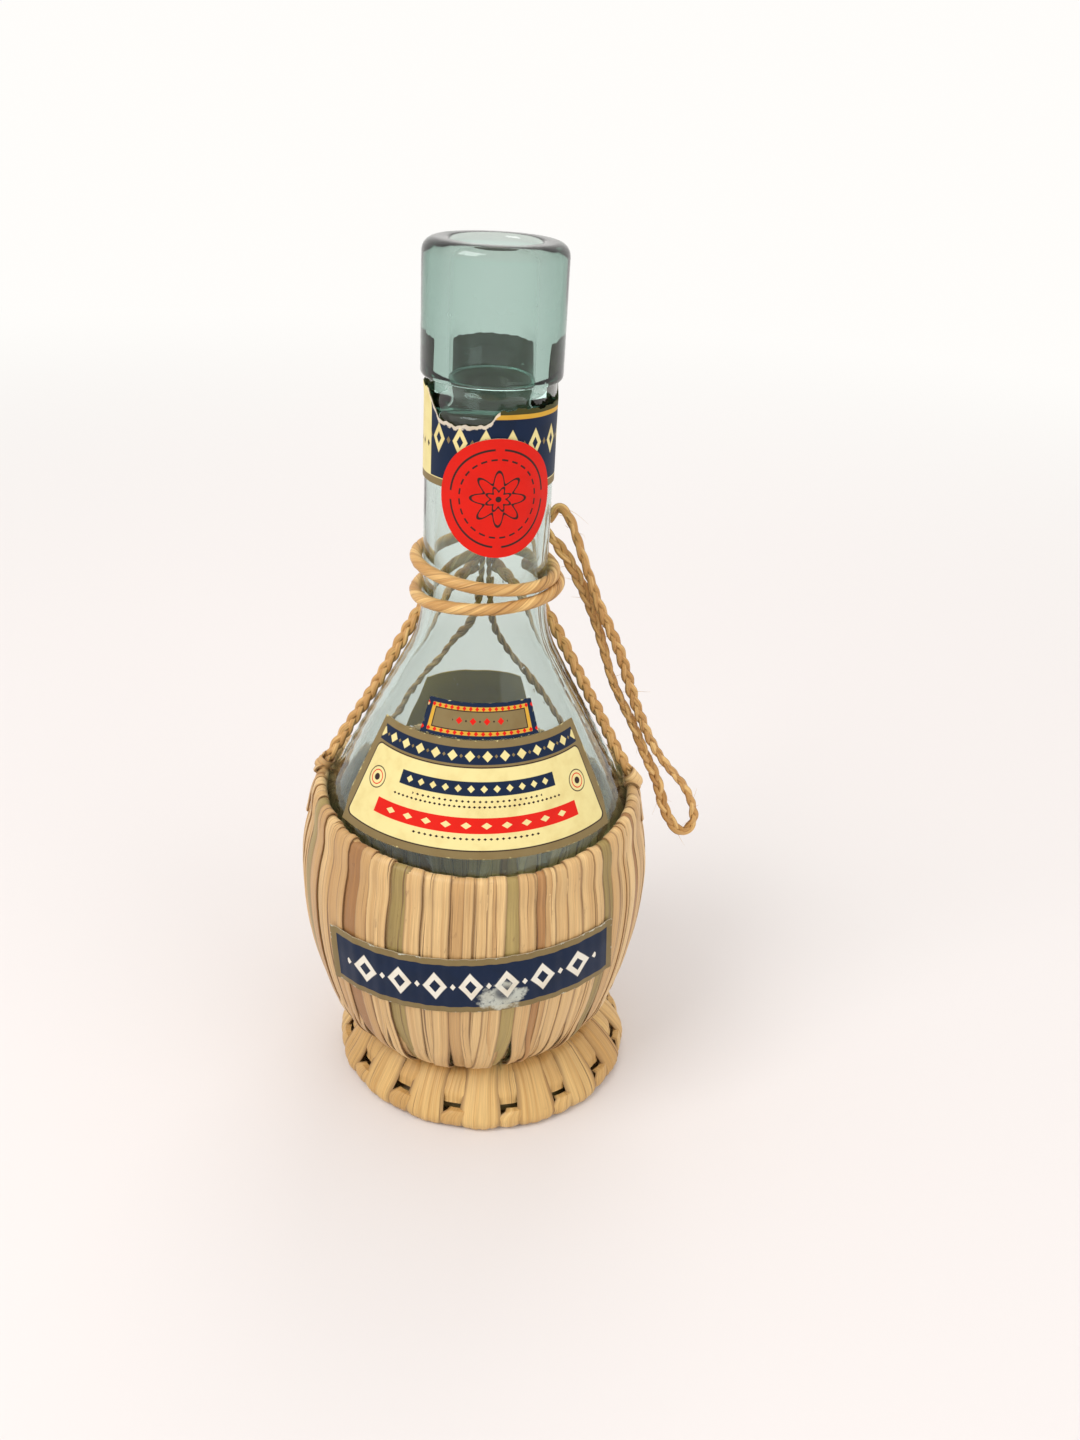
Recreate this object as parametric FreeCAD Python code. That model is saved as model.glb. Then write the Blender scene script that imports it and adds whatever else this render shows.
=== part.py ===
# A half-size straw-covered wine flask: a blown glass bottle seated in a basket of upright straw strips
# on a plaited foot ring, with paper labels, a cord wound on the neck, four cord straps and a cord loop.
# Millimetres, +Z up, origin on the table under the middle of the basket, front towards -Y.
import FreeCAD
import Part
import math
import os

V = FreeCAD.Vector
ORIGIN = V(0, 0, 0)
UP = V(0, 0, 1)

# Glass flask
BORE_R = 9.25           # takes a cork of the standard 18.5 mm bore
BORE_LENGTH = 26.0
BORE_FLARE_H = 8.0
MOUTH_ROUND = 1.2
LIP_R = 2.8
COLLAR_R = 15.2
COLLAR_H = 26.3
COLLAR_SLOPE_H = 1.2
NECK_LENGTH = 49.5
NECK_R = 14.2
NECK_TOP_R = 14.0
NECK_FLARE_R = 30.0
SHOULDER_DEG = 27.9     # the shoulder's slope from upright
SHOULDER_R = 45.0       # curve from the shoulder into the belly
BULB_R = 41.8
BULB_Z = 57.24          # height of the belly's widest part
BELLY_R = 100.0         # long curve under the belly
CORNER_R = 24.0
BOTTOM_Z = 9.0
GLASS_WALL = 2.4

# Straw basket
STRAW_GAP = 0.35
STRAW_T = 1.1
STRIP_COUNT = 40
STRIP_SLIT = 0.5
STRIP_VARIATION = 0.3   # how much wider or narrower than the average a strip may be
STRIP_END_DEG = 62.0    # how far the strips run in under the belly
BASE_END_DEG = 66.0
RIM_OVER = 18.76        # top of the rolled rim at the front and back, over the belly's widest part
RIM_RISE = 3.5          # how much higher it stands at the sides, where the straps hold it
RIM_ROLL_R = 1.5

# Plaited foot ring
FOOT_LEDGE = 1.3        # the ring's upper edge stands out from the basket
FOOT_SPREAD = 7.7       # and its lower edge further
FOOT_BORE_R = 18.0
FOOT_H = 12.0
FOOT_EDGE_H = 2.5
FOOT_SHIFT = 3.5        # the ring sits off the basket's middle
FOOT_LIFT = 0.3         # plaiting clear of the table
PLAIT_T = 0.9
PLAIT_GAP = 0.25
PLAIT_COUNT = 16
PLAIT_WIDE_DEG = 12.5
PLAIT_NARROW_DEG = 8.6
PLAIT_SLIT_Z = 6.2
PLAIT_SLIT_H = 1.2
SEAT_GAP = 0.3

# Paper labels
PAPER_T = 0.25
PAPER_GAP = 0.1
NECK_LABEL_H = 20.5
NECK_LABEL_DROP = 1.0   # under the collar's slope
NECK_LABEL_DEG = 357.0
NECK_LABEL_MID_DEG = 70.0
NECK_FLAP_DEG = 150.0   # behind, the paper still reaches up on the collar
NECK_FLAP_RISE = 5.8
SEAL_MID_DEG = 8.8
SEAL_DROP = 8.6         # seal's top under the neck label's top
SEAL_RISE = 4.45        # seal's bottom over the winding on the neck
FRONT_LABEL_RISE = 3.2  # over the basket's rim
FRONT_LABEL_H = 22.3
FRONT_LABEL_DEG = 122.0
DATE_LABEL_RISE = 1.2
DATE_LABEL_H = 7.2
DATE_LABEL_DEG = 67.0
BACK_LABEL_H = 18.3
BACK_LABEL_DEG = 60.0
BACK_LABEL_MID_DEG = 185.0
BAND_LABEL_W = 66.0     # straight across
BAND_LABEL_H = 15.8
BAND_LABEL_DROP = 7.94  # middle under the belly's widest part
BAND_LABEL_TILT_DEG = 3.9

# Straw cords
WRAP_D = 2.7
WRAP_RISE = 5.5         # middle of the two turns over the foot of the neck
WRAP_SPREAD = 2.8       # half the height between the turns
WRAP_SPREAD_SIDE = 1.2  # more on the left, less on the right
WRAP_GAP = 0.3
WRAP_SLACK = 1.2        # the lower turn stands off the neck on the right
WRAP_START_DEG = 160.0  # round from the front, towards the right
WRAP_END_DEG = 850.0
WRAP_CROSS_DEG = (480.0, 600.0)
TAIL_DEG = 60.0
TAIL_RISE = 4.6
TAIL_OUT = 2.5
KNOT_R = 2.8
KNOT_LENGTH = 4.6
STRAP_D = 3.4
BACK_STRAP_D = 2.2
TIE_WALL = 1.0
TIE_GAP = 0.25
TIE_LENGTH = 5.0
TIE_OVER = 3.6          # how much of it lies over the strap's end
TIE_SIDE_DEG = 100.1    # round from the front, to either side
TIE_SLOPE_DEG = 35.8    # from upright
TIE_OUT = 0.46          # strap's end out from the rolled rim
TIE_UP = 4.11           # and over it
LOOP_D = 2.6

# Routes of the cords, chosen by hand
LEFT_STRAP = [
    (-2.5, 17.5, 129.6), (-9.5, 16.8, 124.8), (-16.0, 11.5, 118.5), (-21.4, 6.0, 110.6),
    (-26.4, 4.9, 101.8), (-31.2, 5.5, 93.7), (-35.2, 6.2, 87.0), (-38.7, 6.9, 82.0),
]
RIGHT_STRAP = [
    (2.5, 17.5, 129.6), (9.5, 16.8, 124.8), (15.9, 11.2, 118.8), (21.0, 6.0, 112.0),
    (25.4, 5.0, 104.6), (30.1, 5.4, 96.0), (34.7, 6.1, 87.6), (38.7, 6.9, 82.0),
]
LEFT_BACK_STRAP = [
    (-1.4, 16.6, 126.4), (-1.4, 17.3, 121.2), (-3.2, 19.1, 114.3), (-7.9, 20.6, 109.3), (-12.3, 21.6, 104.0),
    (-16.5, 22.3, 98.6), (-20.5, 22.8, 93.0), (-24.4, 23.1, 87.4), (-28.2, 23.4, 81.7),
]
RIGHT_BACK_STRAP = [
    (1.4, 16.6, 126.4), (1.4, 17.3, 121.2), (2.3, 19.3, 114.6), (6.2, 22.2, 107.4), (10.6, 23.6, 102.1),
    (14.7, 24.4, 97.1), (18.7, 24.9, 92.0), (22.6, 25.3, 86.8), (26.3, 25.6, 81.5),
]
HANGING_LOOP = [
    (14.7, 14.1, 141.3), (15.7, 13.6, 144.0), (18.1, 12.5, 145.0), (20.4, 11.5, 143.7), (23.4, 10.4, 135.2),
    (26.4, 10.3, 128.8), (28.6, 10.8, 121.6), (31.4, 12.0, 114.2), (35.0, 13.4, 106.4), (37.6, 14.2, 98.2),
    (41.0, 15.4, 90.6), (45.4, 16.8, 83.4), (50.0, 18.4, 76.4), (54.6, 20.2, 69.6), (58.0, 21.4, 62.8),
    (59.2, 22.0, 56.2), (55.6, 20.8, 52.2), (51.4, 19.2, 56.0), (49.4, 18.4, 62.6), (48.0, 17.8, 69.4),
    (44.6, 16.6, 75.8), (41.0, 15.4, 82.0), (37.8, 14.4, 88.6), (34.4, 13.2, 95.2), (31.4, 12.3, 102.4),
    (29.2, 11.8, 110.0), (26.0, 11.0, 117.2), (23.6, 10.6, 124.6), (21.2, 11.0, 131.6), (17.6, 12.6, 136.8),
    (14.0, 14.4, 138.7),
]

# Working values of the flask's outline: centres of its arcs, seen as (radius, height)
COS_S = math.cos(math.radians(SHOULDER_DEG))
SIN_S = math.sin(math.radians(SHOULDER_DEG))
CURVES_R = SHOULDER_R + NECK_FLARE_R
CONE_LENGTH = (BULB_R - NECK_R - CURVES_R * (1 - COS_S)) / SIN_S
NECK_BASE_Z = BULB_Z + CURVES_R * SIN_S + CONE_LENGTH * COS_S
FLARE_C = (NECK_R + NECK_FLARE_R, NECK_BASE_Z)
CONE_REACH = COS_S * FLARE_C[0] + SIN_S * FLARE_C[1] - NECK_FLARE_R
SHOULDER_C = (BULB_R - SHOULDER_R, BULB_Z)
BELLY_C = (BULB_R - BELLY_R, BULB_Z)
CORNER_Z = BOTTOM_Z + CORNER_R
CORNER_C = (BELLY_C[0] + math.sqrt((BELLY_R - CORNER_R) ** 2 - (BULB_Z - CORNER_Z) ** 2), CORNER_Z)
CORNER_DEG = math.degrees(math.atan2(CORNER_Z - BULB_Z, CORNER_C[0] - BELLY_C[0]))
NECK_TOP_Z = NECK_BASE_Z + NECK_LENGTH
COLLAR_Z = NECK_TOP_Z + COLLAR_SLOPE_H
TOTAL_H = COLLAR_Z + COLLAR_H
STRAW_OUT = STRAW_GAP + STRAW_T
RIM_Z = BULB_Z + RIM_OVER
FOOT_TOP_R = CORNER_C[0] + math.sqrt((CORNER_R + STRAW_OUT) ** 2 - (CORNER_Z - FOOT_H) ** 2) + FOOT_LEDGE
FOOT_R = FOOT_TOP_R + FOOT_SPREAD
WRAP_Z = NECK_BASE_Z + WRAP_RISE
NECK_LABEL_TOP = NECK_TOP_Z - NECK_LABEL_DROP
SEAL_TOP = NECK_LABEL_TOP - SEAL_DROP
SEAL_LOW = WRAP_Z + WRAP_SPREAD + WRAP_D / 2 + SEAL_RISE
BAND_LABEL_Z = BULB_Z - BAND_LABEL_DROP
FRONT_LABEL_Z = RIM_Z + FRONT_LABEL_RISE
DATE_LABEL_Z = FRONT_LABEL_Z + FRONT_LABEL_H + DATE_LABEL_RISE


def save(name, shape):
    """Write one named piece."""
    shape.exportStep("parts/" + name + ".step")


def at(radius, height):
    """A point of an outline, in the plane of the turning axis."""
    return V(radius, 0, height)


def on_arc(centre, radius, deg):
    a = math.radians(deg)
    return at(centre[0] + radius * math.cos(a), centre[1] + radius * math.sin(a))


def arc(centre, radius, deg0, deg1):
    points = [on_arc(centre, radius, deg) for deg in (deg0, (deg0 + deg1) / 2, deg1)]
    return Part.Arc(*points).toShape()


def line(p, q):
    return Part.LineSegment(p, q).toShape()


def closed_face(edges):
    return Part.Face(Part.Wire(Part.__sortEdges__(edges)))


def polygon_face(points):
    return Part.Face(Part.makePolygon([at(*p) for p in points + points[:1]]))


def sector(face, mid_deg, span_deg):
    """Turn a section about the upright axis; angles run from the front towards the right."""
    solid = face.revolve(ORIGIN, UP, span_deg)
    solid.rotate(ORIGIN, UP, mid_deg - 90 - span_deg / 2)
    return solid


def around(radius, deg, height):
    a = math.radians(deg)
    return V(radius * math.sin(a), -radius * math.cos(a), height)


def belly_edges(deg0, deg1, offset):
    """The flask's outside from one surface angle to another, moved out by an offset."""
    stretches = [
        (CORNER_C, CORNER_R, -90.0, CORNER_DEG),
        (BELLY_C, BELLY_R, CORNER_DEG, 0.0),
        (SHOULDER_C, SHOULDER_R, 0.0, 90.0),
    ]
    edges = []
    for centre, radius, low, high in stretches:
        start, end = max(low, deg0), min(high, deg1)
        if end > start:
            edges.append(arc(centre, radius + offset, start, end))
    return edges


def ends_of(edges):
    return edges[0].firstVertex().Point, edges[-1].lastVertex().Point


def band_face(deg0, deg1, inner, outer):
    """The section of a layer that follows the flask between two offsets."""
    inside, outside = belly_edges(deg0, deg1, inner), belly_edges(deg0, deg1, outer)
    in0, in1 = ends_of(inside)
    out0, out1 = ends_of(outside)
    return closed_face(inside + outside + [line(in0, out0), line(in1, out1)])


def surface_deg(height, offset):
    """The surface angle at a height on the belly or the curve above it."""
    radius = SHOULDER_R if height > BULB_Z else BELLY_R
    return math.degrees(math.asin((height - BULB_Z) / (radius + offset)))


def cone_r(height, offset):
    return (CONE_REACH + offset - SIN_S * height) / COS_S


def neck_r(height):
    share = (height - NECK_BASE_Z) / (NECK_TOP_Z - NECK_BASE_Z)
    return NECK_R + (NECK_TOP_R - NECK_R) * share


def wall_edges(offset):
    """The flask's wall from the middle of its bottom to the foot of the neck, at an offset."""
    edges = [line(at(0, BOTTOM_Z - offset), at(CORNER_C[0], BOTTOM_Z - offset))]
    edges += belly_edges(-90.0, SHOULDER_DEG, offset)
    flare = arc(FLARE_C, NECK_FLARE_R - offset, 180 + SHOULDER_DEG, 180)
    edges.append(line(edges[-1].lastVertex().Point, flare.firstVertex().Point))
    edges.append(flare)
    return edges


def glass_flask():
    bore_top = TOTAL_H - MOUTH_ROUND
    bore_end = bore_top - BORE_LENGTH
    throat_z = bore_end - BORE_FLARE_H
    half = math.sqrt(0.5)
    outline = [
        at(NECK_R, NECK_BASE_Z), at(NECK_TOP_R, NECK_TOP_Z), at(COLLAR_R, COLLAR_Z),
        at(COLLAR_R, TOTAL_H - LIP_R),
    ]
    inside = [
        at(BORE_R, bore_top), at(BORE_R, bore_end), at(neck_r(throat_z) - GLASS_WALL, throat_z),
        at(NECK_R - GLASS_WALL, NECK_BASE_Z),
    ]
    edges = wall_edges(0.0) + wall_edges(-GLASS_WALL)
    for chain in (outline, inside):
        edges += [line(p, q) for p, q in zip(chain, chain[1:])]
    lip = (COLLAR_R - LIP_R, TOTAL_H - LIP_R)
    mouth = (BORE_R + MOUTH_ROUND, TOTAL_H - MOUTH_ROUND)
    lip_top, mouth_top = at(lip[0], TOTAL_H), at(mouth[0], TOTAL_H)
    lip_mid = at(lip[0] + LIP_R * half, lip[1] + LIP_R * half)
    mouth_mid = at(mouth[0] - MOUTH_ROUND * half, mouth[1] + MOUTH_ROUND * half)
    edges.append(Part.Arc(outline[-1], lip_mid, lip_top).toShape())
    edges.append(line(lip_top, mouth_top))
    edges.append(Part.Arc(mouth_top, mouth_mid, inside[0]).toShape())
    edges.append(line(at(0, BOTTOM_Z), at(0, BOTTOM_Z + GLASS_WALL)))
    return closed_face(edges).revolve(ORIGIN, UP, 360)


def neck_paper(top, bottom, gap):
    """A sheet of paper round the neck, as a section."""
    return polygon_face([
        (neck_r(bottom) + gap, bottom), (neck_r(bottom) + gap + PAPER_T, bottom),
        (neck_r(top) + gap + PAPER_T, top), (neck_r(top) + gap, top),
    ])


def flap_side(offset):
    """One side of the paper's section from the neck's top over the slope and up on the collar."""
    run = COLLAR_R - NECK_TOP_R
    drop = offset * (math.hypot(run, COLLAR_SLOPE_H) - COLLAR_SLOPE_H) / run
    return [
        (NECK_TOP_R + offset, NECK_TOP_Z - drop), (COLLAR_R + offset, COLLAR_Z - drop),
        (COLLAR_R + offset, COLLAR_Z + NECK_FLAP_RISE),
    ]


def neck_label():
    """The paper round the neck, torn off level with the neck's top in front and higher behind."""
    bottom = NECK_LABEL_TOP - NECK_LABEL_H
    inner, outer = PAPER_GAP, PAPER_GAP + PAPER_T
    low = neck_paper(NECK_LABEL_TOP, bottom, PAPER_GAP)
    high = polygon_face(
        [(neck_r(bottom) + inner, bottom)] + flap_side(inner)
        + flap_side(outer)[::-1] + [(neck_r(bottom) + outer, bottom)])
    front_span = NECK_LABEL_DEG - NECK_FLAP_DEG
    front = sector(low, NECK_LABEL_MID_DEG - NECK_FLAP_DEG / 2, front_span)
    behind = sector(high, NECK_LABEL_MID_DEG + front_span / 2, NECK_FLAP_DEG)
    return front.fuse(behind).removeSplitter()


def round_seal():
    """A round paper seal that bends round the neck, over the neck label's lower edge."""
    middle, seal_r = (SEAL_TOP + SEAL_LOW) / 2, (SEAL_TOP - SEAL_LOW) / 2
    gap = 2 * PAPER_GAP + PAPER_T
    radius = neck_r(middle) + gap + PAPER_T
    half_turn = seal_r / radius
    ring = sector(neck_paper(SEAL_TOP + PAPER_T, SEAL_LOW - PAPER_T, gap), 0, 180)
    outline = Part.Ellipse(at(0, SEAL_TOP), at(radius * math.sin(half_turn), middle), at(0, middle))
    cutter = Part.Face(Part.Wire(outline.toShape())).extrude(V(0, -2 * radius, 0))
    seal = ring.common(cutter)
    seal.rotate(ORIGIN, UP, SEAL_MID_DEG)
    return seal


def flare_deg(height, offset):
    return 180 + math.degrees(math.asin((NECK_BASE_Z - height) / (NECK_FLARE_R - offset)))


def shoulder_edges(low, high, offset):
    """The flask's outside between two heights on its slope or the curve above, moved out by an offset."""
    turn = NECK_BASE_Z - (NECK_FLARE_R - offset) * SIN_S
    edges = []
    if low < turn:
        top = min(high, turn)
        edges.append(line(at(cone_r(low, offset), low), at(cone_r(top, offset), top)))
    if high > turn:
        start = max(low, turn)
        edges.append(arc(FLARE_C, NECK_FLARE_R - offset, flare_deg(start, offset), flare_deg(high, offset)))
    return edges


def shoulder_label(bottom, height, mid, span):
    inside = shoulder_edges(bottom, bottom + height, PAPER_GAP)
    outside = shoulder_edges(bottom, bottom + height, PAPER_GAP + PAPER_T)
    in0, in1 = ends_of(inside)
    out0, out1 = ends_of(outside)
    return sector(closed_face(inside + outside + [line(in0, out0), line(in1, out1)]), mid, span)


def band_label():
    """A straight strip of paper, a little askew, round the front of the basket."""
    margin = BAND_LABEL_H
    low = surface_deg(BAND_LABEL_Z - margin, STRAW_OUT)
    high = surface_deg(BAND_LABEL_Z + margin, STRAW_OUT)
    paper = band_face(low, high, STRAW_OUT + PAPER_GAP, STRAW_OUT + PAPER_GAP + PAPER_T)
    shell = sector(paper, 0, 180)
    reach = 2 * BULB_R
    box = Part.makeBox(BAND_LABEL_W, reach, BAND_LABEL_H, V(-BAND_LABEL_W / 2, -reach, -BAND_LABEL_H / 2))
    box.rotate(ORIGIN, V(0, 1, 0), -BAND_LABEL_TILT_DEG)
    box.translate(V(0, 0, BAND_LABEL_Z))
    return shell.common(box)


def rim_height(deg):
    return RIM_Z + RIM_RISE * math.sin(math.radians(deg)) ** 2


def rim_centre(deg):
    """The middle of the rolled rim, as (radius, height)."""
    offset = STRAW_GAP + RIM_ROLL_R
    point = on_arc(SHOULDER_C, SHOULDER_R + offset, surface_deg(rim_height(deg) - RIM_ROLL_R, offset))
    return point.x, point.z


def rim_section(deg, radius):
    x, z = rim_centre(deg)
    circle = Part.Circle(at(x, z), V(0, 1, 0), radius)
    return Part.Face(Part.Wire(circle.toShape()))


def strip_spans():
    """Middle and width of each upright strip, in degrees, uneven as split straw is."""
    slit = math.degrees(STRIP_SLIT / (BULB_R + STRAW_OUT))
    waves = [0.7 * math.sin(2.4 * i) + 0.3 * math.sin(5.1 * i + 1) for i in range(STRIP_COUNT)]
    shares = [1 + STRIP_VARIATION * wave for wave in waves]
    spans = []
    start = 0.0
    for share in shares:
        width = 360 * share / sum(shares)
        spans.append((start + width / 2, width - slit))
        start += width
    return spans


def basket_strip(mid, span):
    """One straw from under the belly up to its end, rolled over at the rim."""
    offset = STRAW_GAP + RIM_ROLL_R
    top = surface_deg(rim_height(mid) - RIM_ROLL_R, offset)
    layer = band_face(-STRIP_END_DEG, top, STRAW_GAP, STRAW_OUT)
    section = layer.fuse(rim_section(mid, RIM_ROLL_R)).removeSplitter().Faces[0]
    return sector(section, mid, span)


def basket_base():
    """The straw under the flask's bottom, between the strips' ends."""
    bottom_in, bottom_out = BOTTOM_Z - STRAW_GAP, BOTTOM_Z - STRAW_OUT
    inside = belly_edges(-90.0, -BASE_END_DEG, STRAW_GAP)
    outside = belly_edges(-90.0, -BASE_END_DEG, STRAW_OUT)
    edges = inside + outside
    edges += [line(at(0, bottom_in), ends_of(inside)[0]), line(at(0, bottom_out), ends_of(outside)[0])]
    edges += [line(at(0, bottom_in), at(0, bottom_out)), line(ends_of(inside)[1], ends_of(outside)[1])]
    return closed_face(edges).revolve(ORIGIN, UP, 360)


def basket_room():
    """The space of the basket's lower half and a seat's clearance, which the foot ring leaves free."""
    offset = STRAW_OUT + SEAT_GAP
    edges = [line(at(0, BOTTOM_Z - offset), at(CORNER_C[0], BOTTOM_Z - offset))]
    edges += belly_edges(-90.0, 0.0, offset)
    top = edges[-1].lastVertex().Point
    edges += [line(top, at(0, BULB_Z)), line(at(0, BULB_Z), at(0, BOTTOM_Z - offset))]
    return closed_face(edges).revolve(ORIGIN, UP, 360)


def foot_r(height):
    if height <= FOOT_EDGE_H:
        return FOOT_R
    return FOOT_R - (FOOT_R - FOOT_TOP_R) * (height - FOOT_EDGE_H) / (FOOT_H - FOOT_EDGE_H)


def foot_heights(low, high):
    return [low] + [FOOT_EDGE_H] * (low < FOOT_EDGE_H < high) + [high]


def foot_ring_core():
    inset = PLAIT_T + PLAIT_GAP
    outside = [(foot_r(z) - inset, z) for z in foot_heights(0.0, FOOT_H)]
    face = polygon_face([(FOOT_BORE_R, 0)] + outside + [(FOOT_BORE_R, FOOT_H)])
    return face.revolve(ORIGIN, UP, 360)


def plait(low, high, mid, span):
    """A straw of the foot ring's plaiting, between two heights."""
    heights = foot_heights(low, high)
    outside = [(foot_r(z), z) for z in heights]
    inside = [(foot_r(z) - PLAIT_T, z) for z in reversed(heights)]
    return sector(polygon_face(outside + inside), mid, span)


def foot_ring():
    """The ring's core, its wide straws and the short ends that show between them."""
    step = 360 / PLAIT_COUNT
    slit_low, slit_high = PLAIT_SLIT_Z - PLAIT_SLIT_H / 2, PLAIT_SLIT_Z + PLAIT_SLIT_H / 2
    wide, ends = [], []
    for i in range(PLAIT_COUNT):
        wide.append(plait(FOOT_LIFT, FOOT_H, i * step, PLAIT_WIDE_DEG))
        ends.append(plait(FOOT_LIFT, slit_low, (i + 0.5) * step, PLAIT_NARROW_DEG))
        ends.append(plait(slit_high, FOOT_H, (i + 0.5) * step, PLAIT_NARROW_DEG))
    room = basket_room()
    pieces = []
    for group in ([foot_ring_core()], wide, ends):
        solids = []
        for solid in group:
            solid.translate(V(FOOT_SHIFT, 0, 0))
            solids += solid.cut(room).Solids
        pieces.append(Part.makeCompound(solids) if len(solids) > 1 else solids[0])
    return pieces


def tube(edges, diameter):
    """A round cord along a smooth path."""
    path = Part.Wire(edges)
    start = path.Edges[0]
    begin = start.FirstParameter
    circle = Part.Circle(start.valueAt(begin), start.tangentAt(begin), diameter / 2)
    shell = Part.BRepOffsetAPI.MakePipeShell(path)
    shell.add(Part.Wire(circle.toShape()))
    shell.build()
    shell.makeSolid()
    solid = shell.shape()
    return solid.Solids[0] if solid.Solids else Part.Solid(solid)


def cord(name, points, diameter):
    """A cord of straight runs and the largest tangent arcs that fit between them."""
    p = [V(*q) for q in points]
    edges, radii = [], []
    here = p[0]
    for a, b, c in zip(p, p[1:], p[2:]):
        back, on = (a - b).normalize(), (c - b).normalize()
        half_turn = (math.pi - back.getAngle(on)) / 2
        reach = 0.45 * min((b - a).Length, (c - b).Length)
        radius = reach / math.tan(half_turn)
        start, end = b + back * reach, b + on * reach
        inward = (back + on).normalize()
        middle = b + inward * (radius / math.cos(half_turn) - radius)
        edges += [line(here, start), Part.Arc(start, middle, end).toShape()]
        radii.append(radius)
        here = end
    edges.append(line(here, p[-1]))
    solid = tube(edges, diameter)
    length = sum(e.Length for e in edges)
    share = solid.Volume / (length * math.pi * diameter ** 2 / 4)
    print(name, "length %.1f, volume against section times length %.4f" % (length, share))
    print("  radii in diameters", " ".join("%.1f" % (r / diameter) for r in radii))
    return solid


def ease(share):
    """A smooth step from 0 to 1."""
    share = min(max(share, 0.0), 1.0)
    return (1 - math.cos(math.pi * share)) / 2


def wrap_point(deg):
    """The line of the neck's winding: two turns, apart on the left and together on the right."""
    low, high = WRAP_CROSS_DEG
    under = ease((deg - low) / (high - low))
    tail = 1 - ease((deg - WRAP_START_DEG) / TAIL_DEG)
    spread = WRAP_SPREAD - WRAP_SPREAD_SIDE * math.sin(math.radians(deg))
    slack = WRAP_SLACK * under * (1 + math.sin(math.radians(deg))) / 2
    height = WRAP_Z + spread * (1 - 2 * under) + TAIL_RISE * tail
    return around(NECK_R + WRAP_D / 2 + WRAP_GAP + slack + TAIL_OUT * tail, deg, height)


def wrap_tangent(deg):
    return (wrap_point(deg + 0.5) - wrap_point(deg - 0.5)).normalize()


def arc_from(p, tangent, q):
    """The arc that leaves p along a tangent and ends at q."""
    chord = q - p
    along = V(chord).normalize()
    side = tangent - along * tangent.dot(along)
    bulge = chord.Length / 2 * math.tan(tangent.getAngle(along) / 2)
    return Part.Arc(p, (p + q) / 2 + side.normalize() * bulge, q).toShape()


def biarc(p, t, q, u):
    """Two tangent arcs from p along t to q along u."""
    v = q - p
    a, b, c = 2 * (t.dot(u) - 1), -2 * v.dot(t + u), v.dot(v)
    reach = (-b - math.sqrt(b * b - 4 * a * c)) / (2 * a)
    joint = (p + t * reach + q - u * reach) / 2
    first = arc_from(p, t, joint)
    return [first, arc_from(joint, first.tangentAt(first.LastParameter), q)]


def wrap_gap(edges):
    """Least clear space between the winding's turns."""
    points = [p for e in edges for p in e.discretize(16)]
    quarter = math.pi * NECK_R / 2
    least = 1e9
    walk = [0.0]
    for p, q in zip(points, points[1:]):
        walk.append(walk[-1] + (q - p).Length)
    for i, p in enumerate(points):
        for j in range(i):
            if walk[i] - walk[j] > quarter:
                least = min(least, (p - points[j]).Length)
    return least - WRAP_D


def neck_wrap():
    whole = WRAP_END_DEG - WRAP_START_DEG
    count = round(whole / 90)
    stops = [WRAP_START_DEG + whole * i / count for i in range(count + 1)]
    ends = [(wrap_point(deg), wrap_tangent(deg)) for deg in stops]
    edges = []
    for (p, t), (q, u) in zip(ends, ends[1:]):
        edges += biarc(p, t, q, u)
    first, last = ends[0], ends[-1]
    edges.insert(0, line(first[0] - first[1] * WRAP_D, first[0]))
    edges.append(line(last[0], last[0] + last[1] * WRAP_D))
    print("neck_wrap least gap between turns %.2f" % wrap_gap(edges))
    return tube(edges, WRAP_D)


def knot_frame():
    """Where the winding's tail ends in the knot, and the way on from there."""
    way = wrap_tangent(WRAP_START_DEG) * -1
    start = wrap_point(WRAP_START_DEG) + way * WRAP_D
    return start, way


def hang_knot():
    start, way = knot_frame()
    return Part.makeCylinder(KNOT_R, KNOT_LENGTH, start, way)


def rim_tie(side):
    """The lashing that holds a strap's lower end on the basket's rim."""
    slope = math.radians(TIE_SLOPE_DEG)
    rim_r, rim_z = rim_centre(side)
    end = around(rim_r + TIE_OUT, side, rim_z + TIE_UP)
    way = around(math.sin(slope), side, -math.cos(slope))
    start = end - way * TIE_OVER
    bore = STRAP_D / 2 + TIE_GAP
    sleeve = Part.makeCylinder(bore + TIE_WALL, TIE_LENGTH, start, way)
    sleeve = sleeve.cut(Part.makeCylinder(bore, TIE_LENGTH, start, way))
    rim = rim_section(side, RIM_ROLL_R + SEAT_GAP).revolve(ORIGIN, UP, 360)
    return sleeve.cut(rim).Solids[0]


os.makedirs("parts", exist_ok=True)
save("glass_flask", glass_flask())
save("neck_label", neck_label())
save("round_seal", round_seal())
save("front_label", shoulder_label(FRONT_LABEL_Z, FRONT_LABEL_H, 0, FRONT_LABEL_DEG))
save("date_label", shoulder_label(DATE_LABEL_Z, DATE_LABEL_H, 0, DATE_LABEL_DEG))
save("back_label", shoulder_label(FRONT_LABEL_Z, BACK_LABEL_H, BACK_LABEL_MID_DEG, BACK_LABEL_DEG))
save("basket_label", band_label())
for number, (mid, span) in enumerate(strip_spans(), 1):
    save("basket_strip_%02d" % number, basket_strip(mid, span))
save("basket_base", basket_base())
for name, piece in zip(("foot_ring_core", "foot_ring_straws", "foot_ring_ends"), foot_ring()):
    save(name, piece)
save("neck_wrap", neck_wrap())
save("hang_knot", hang_knot())
save("left_strap", cord("left_strap", LEFT_STRAP, STRAP_D))
save("right_strap", cord("right_strap", RIGHT_STRAP, STRAP_D))
save("left_back_strap", cord("left_back_strap", LEFT_BACK_STRAP, BACK_STRAP_D))
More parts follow.
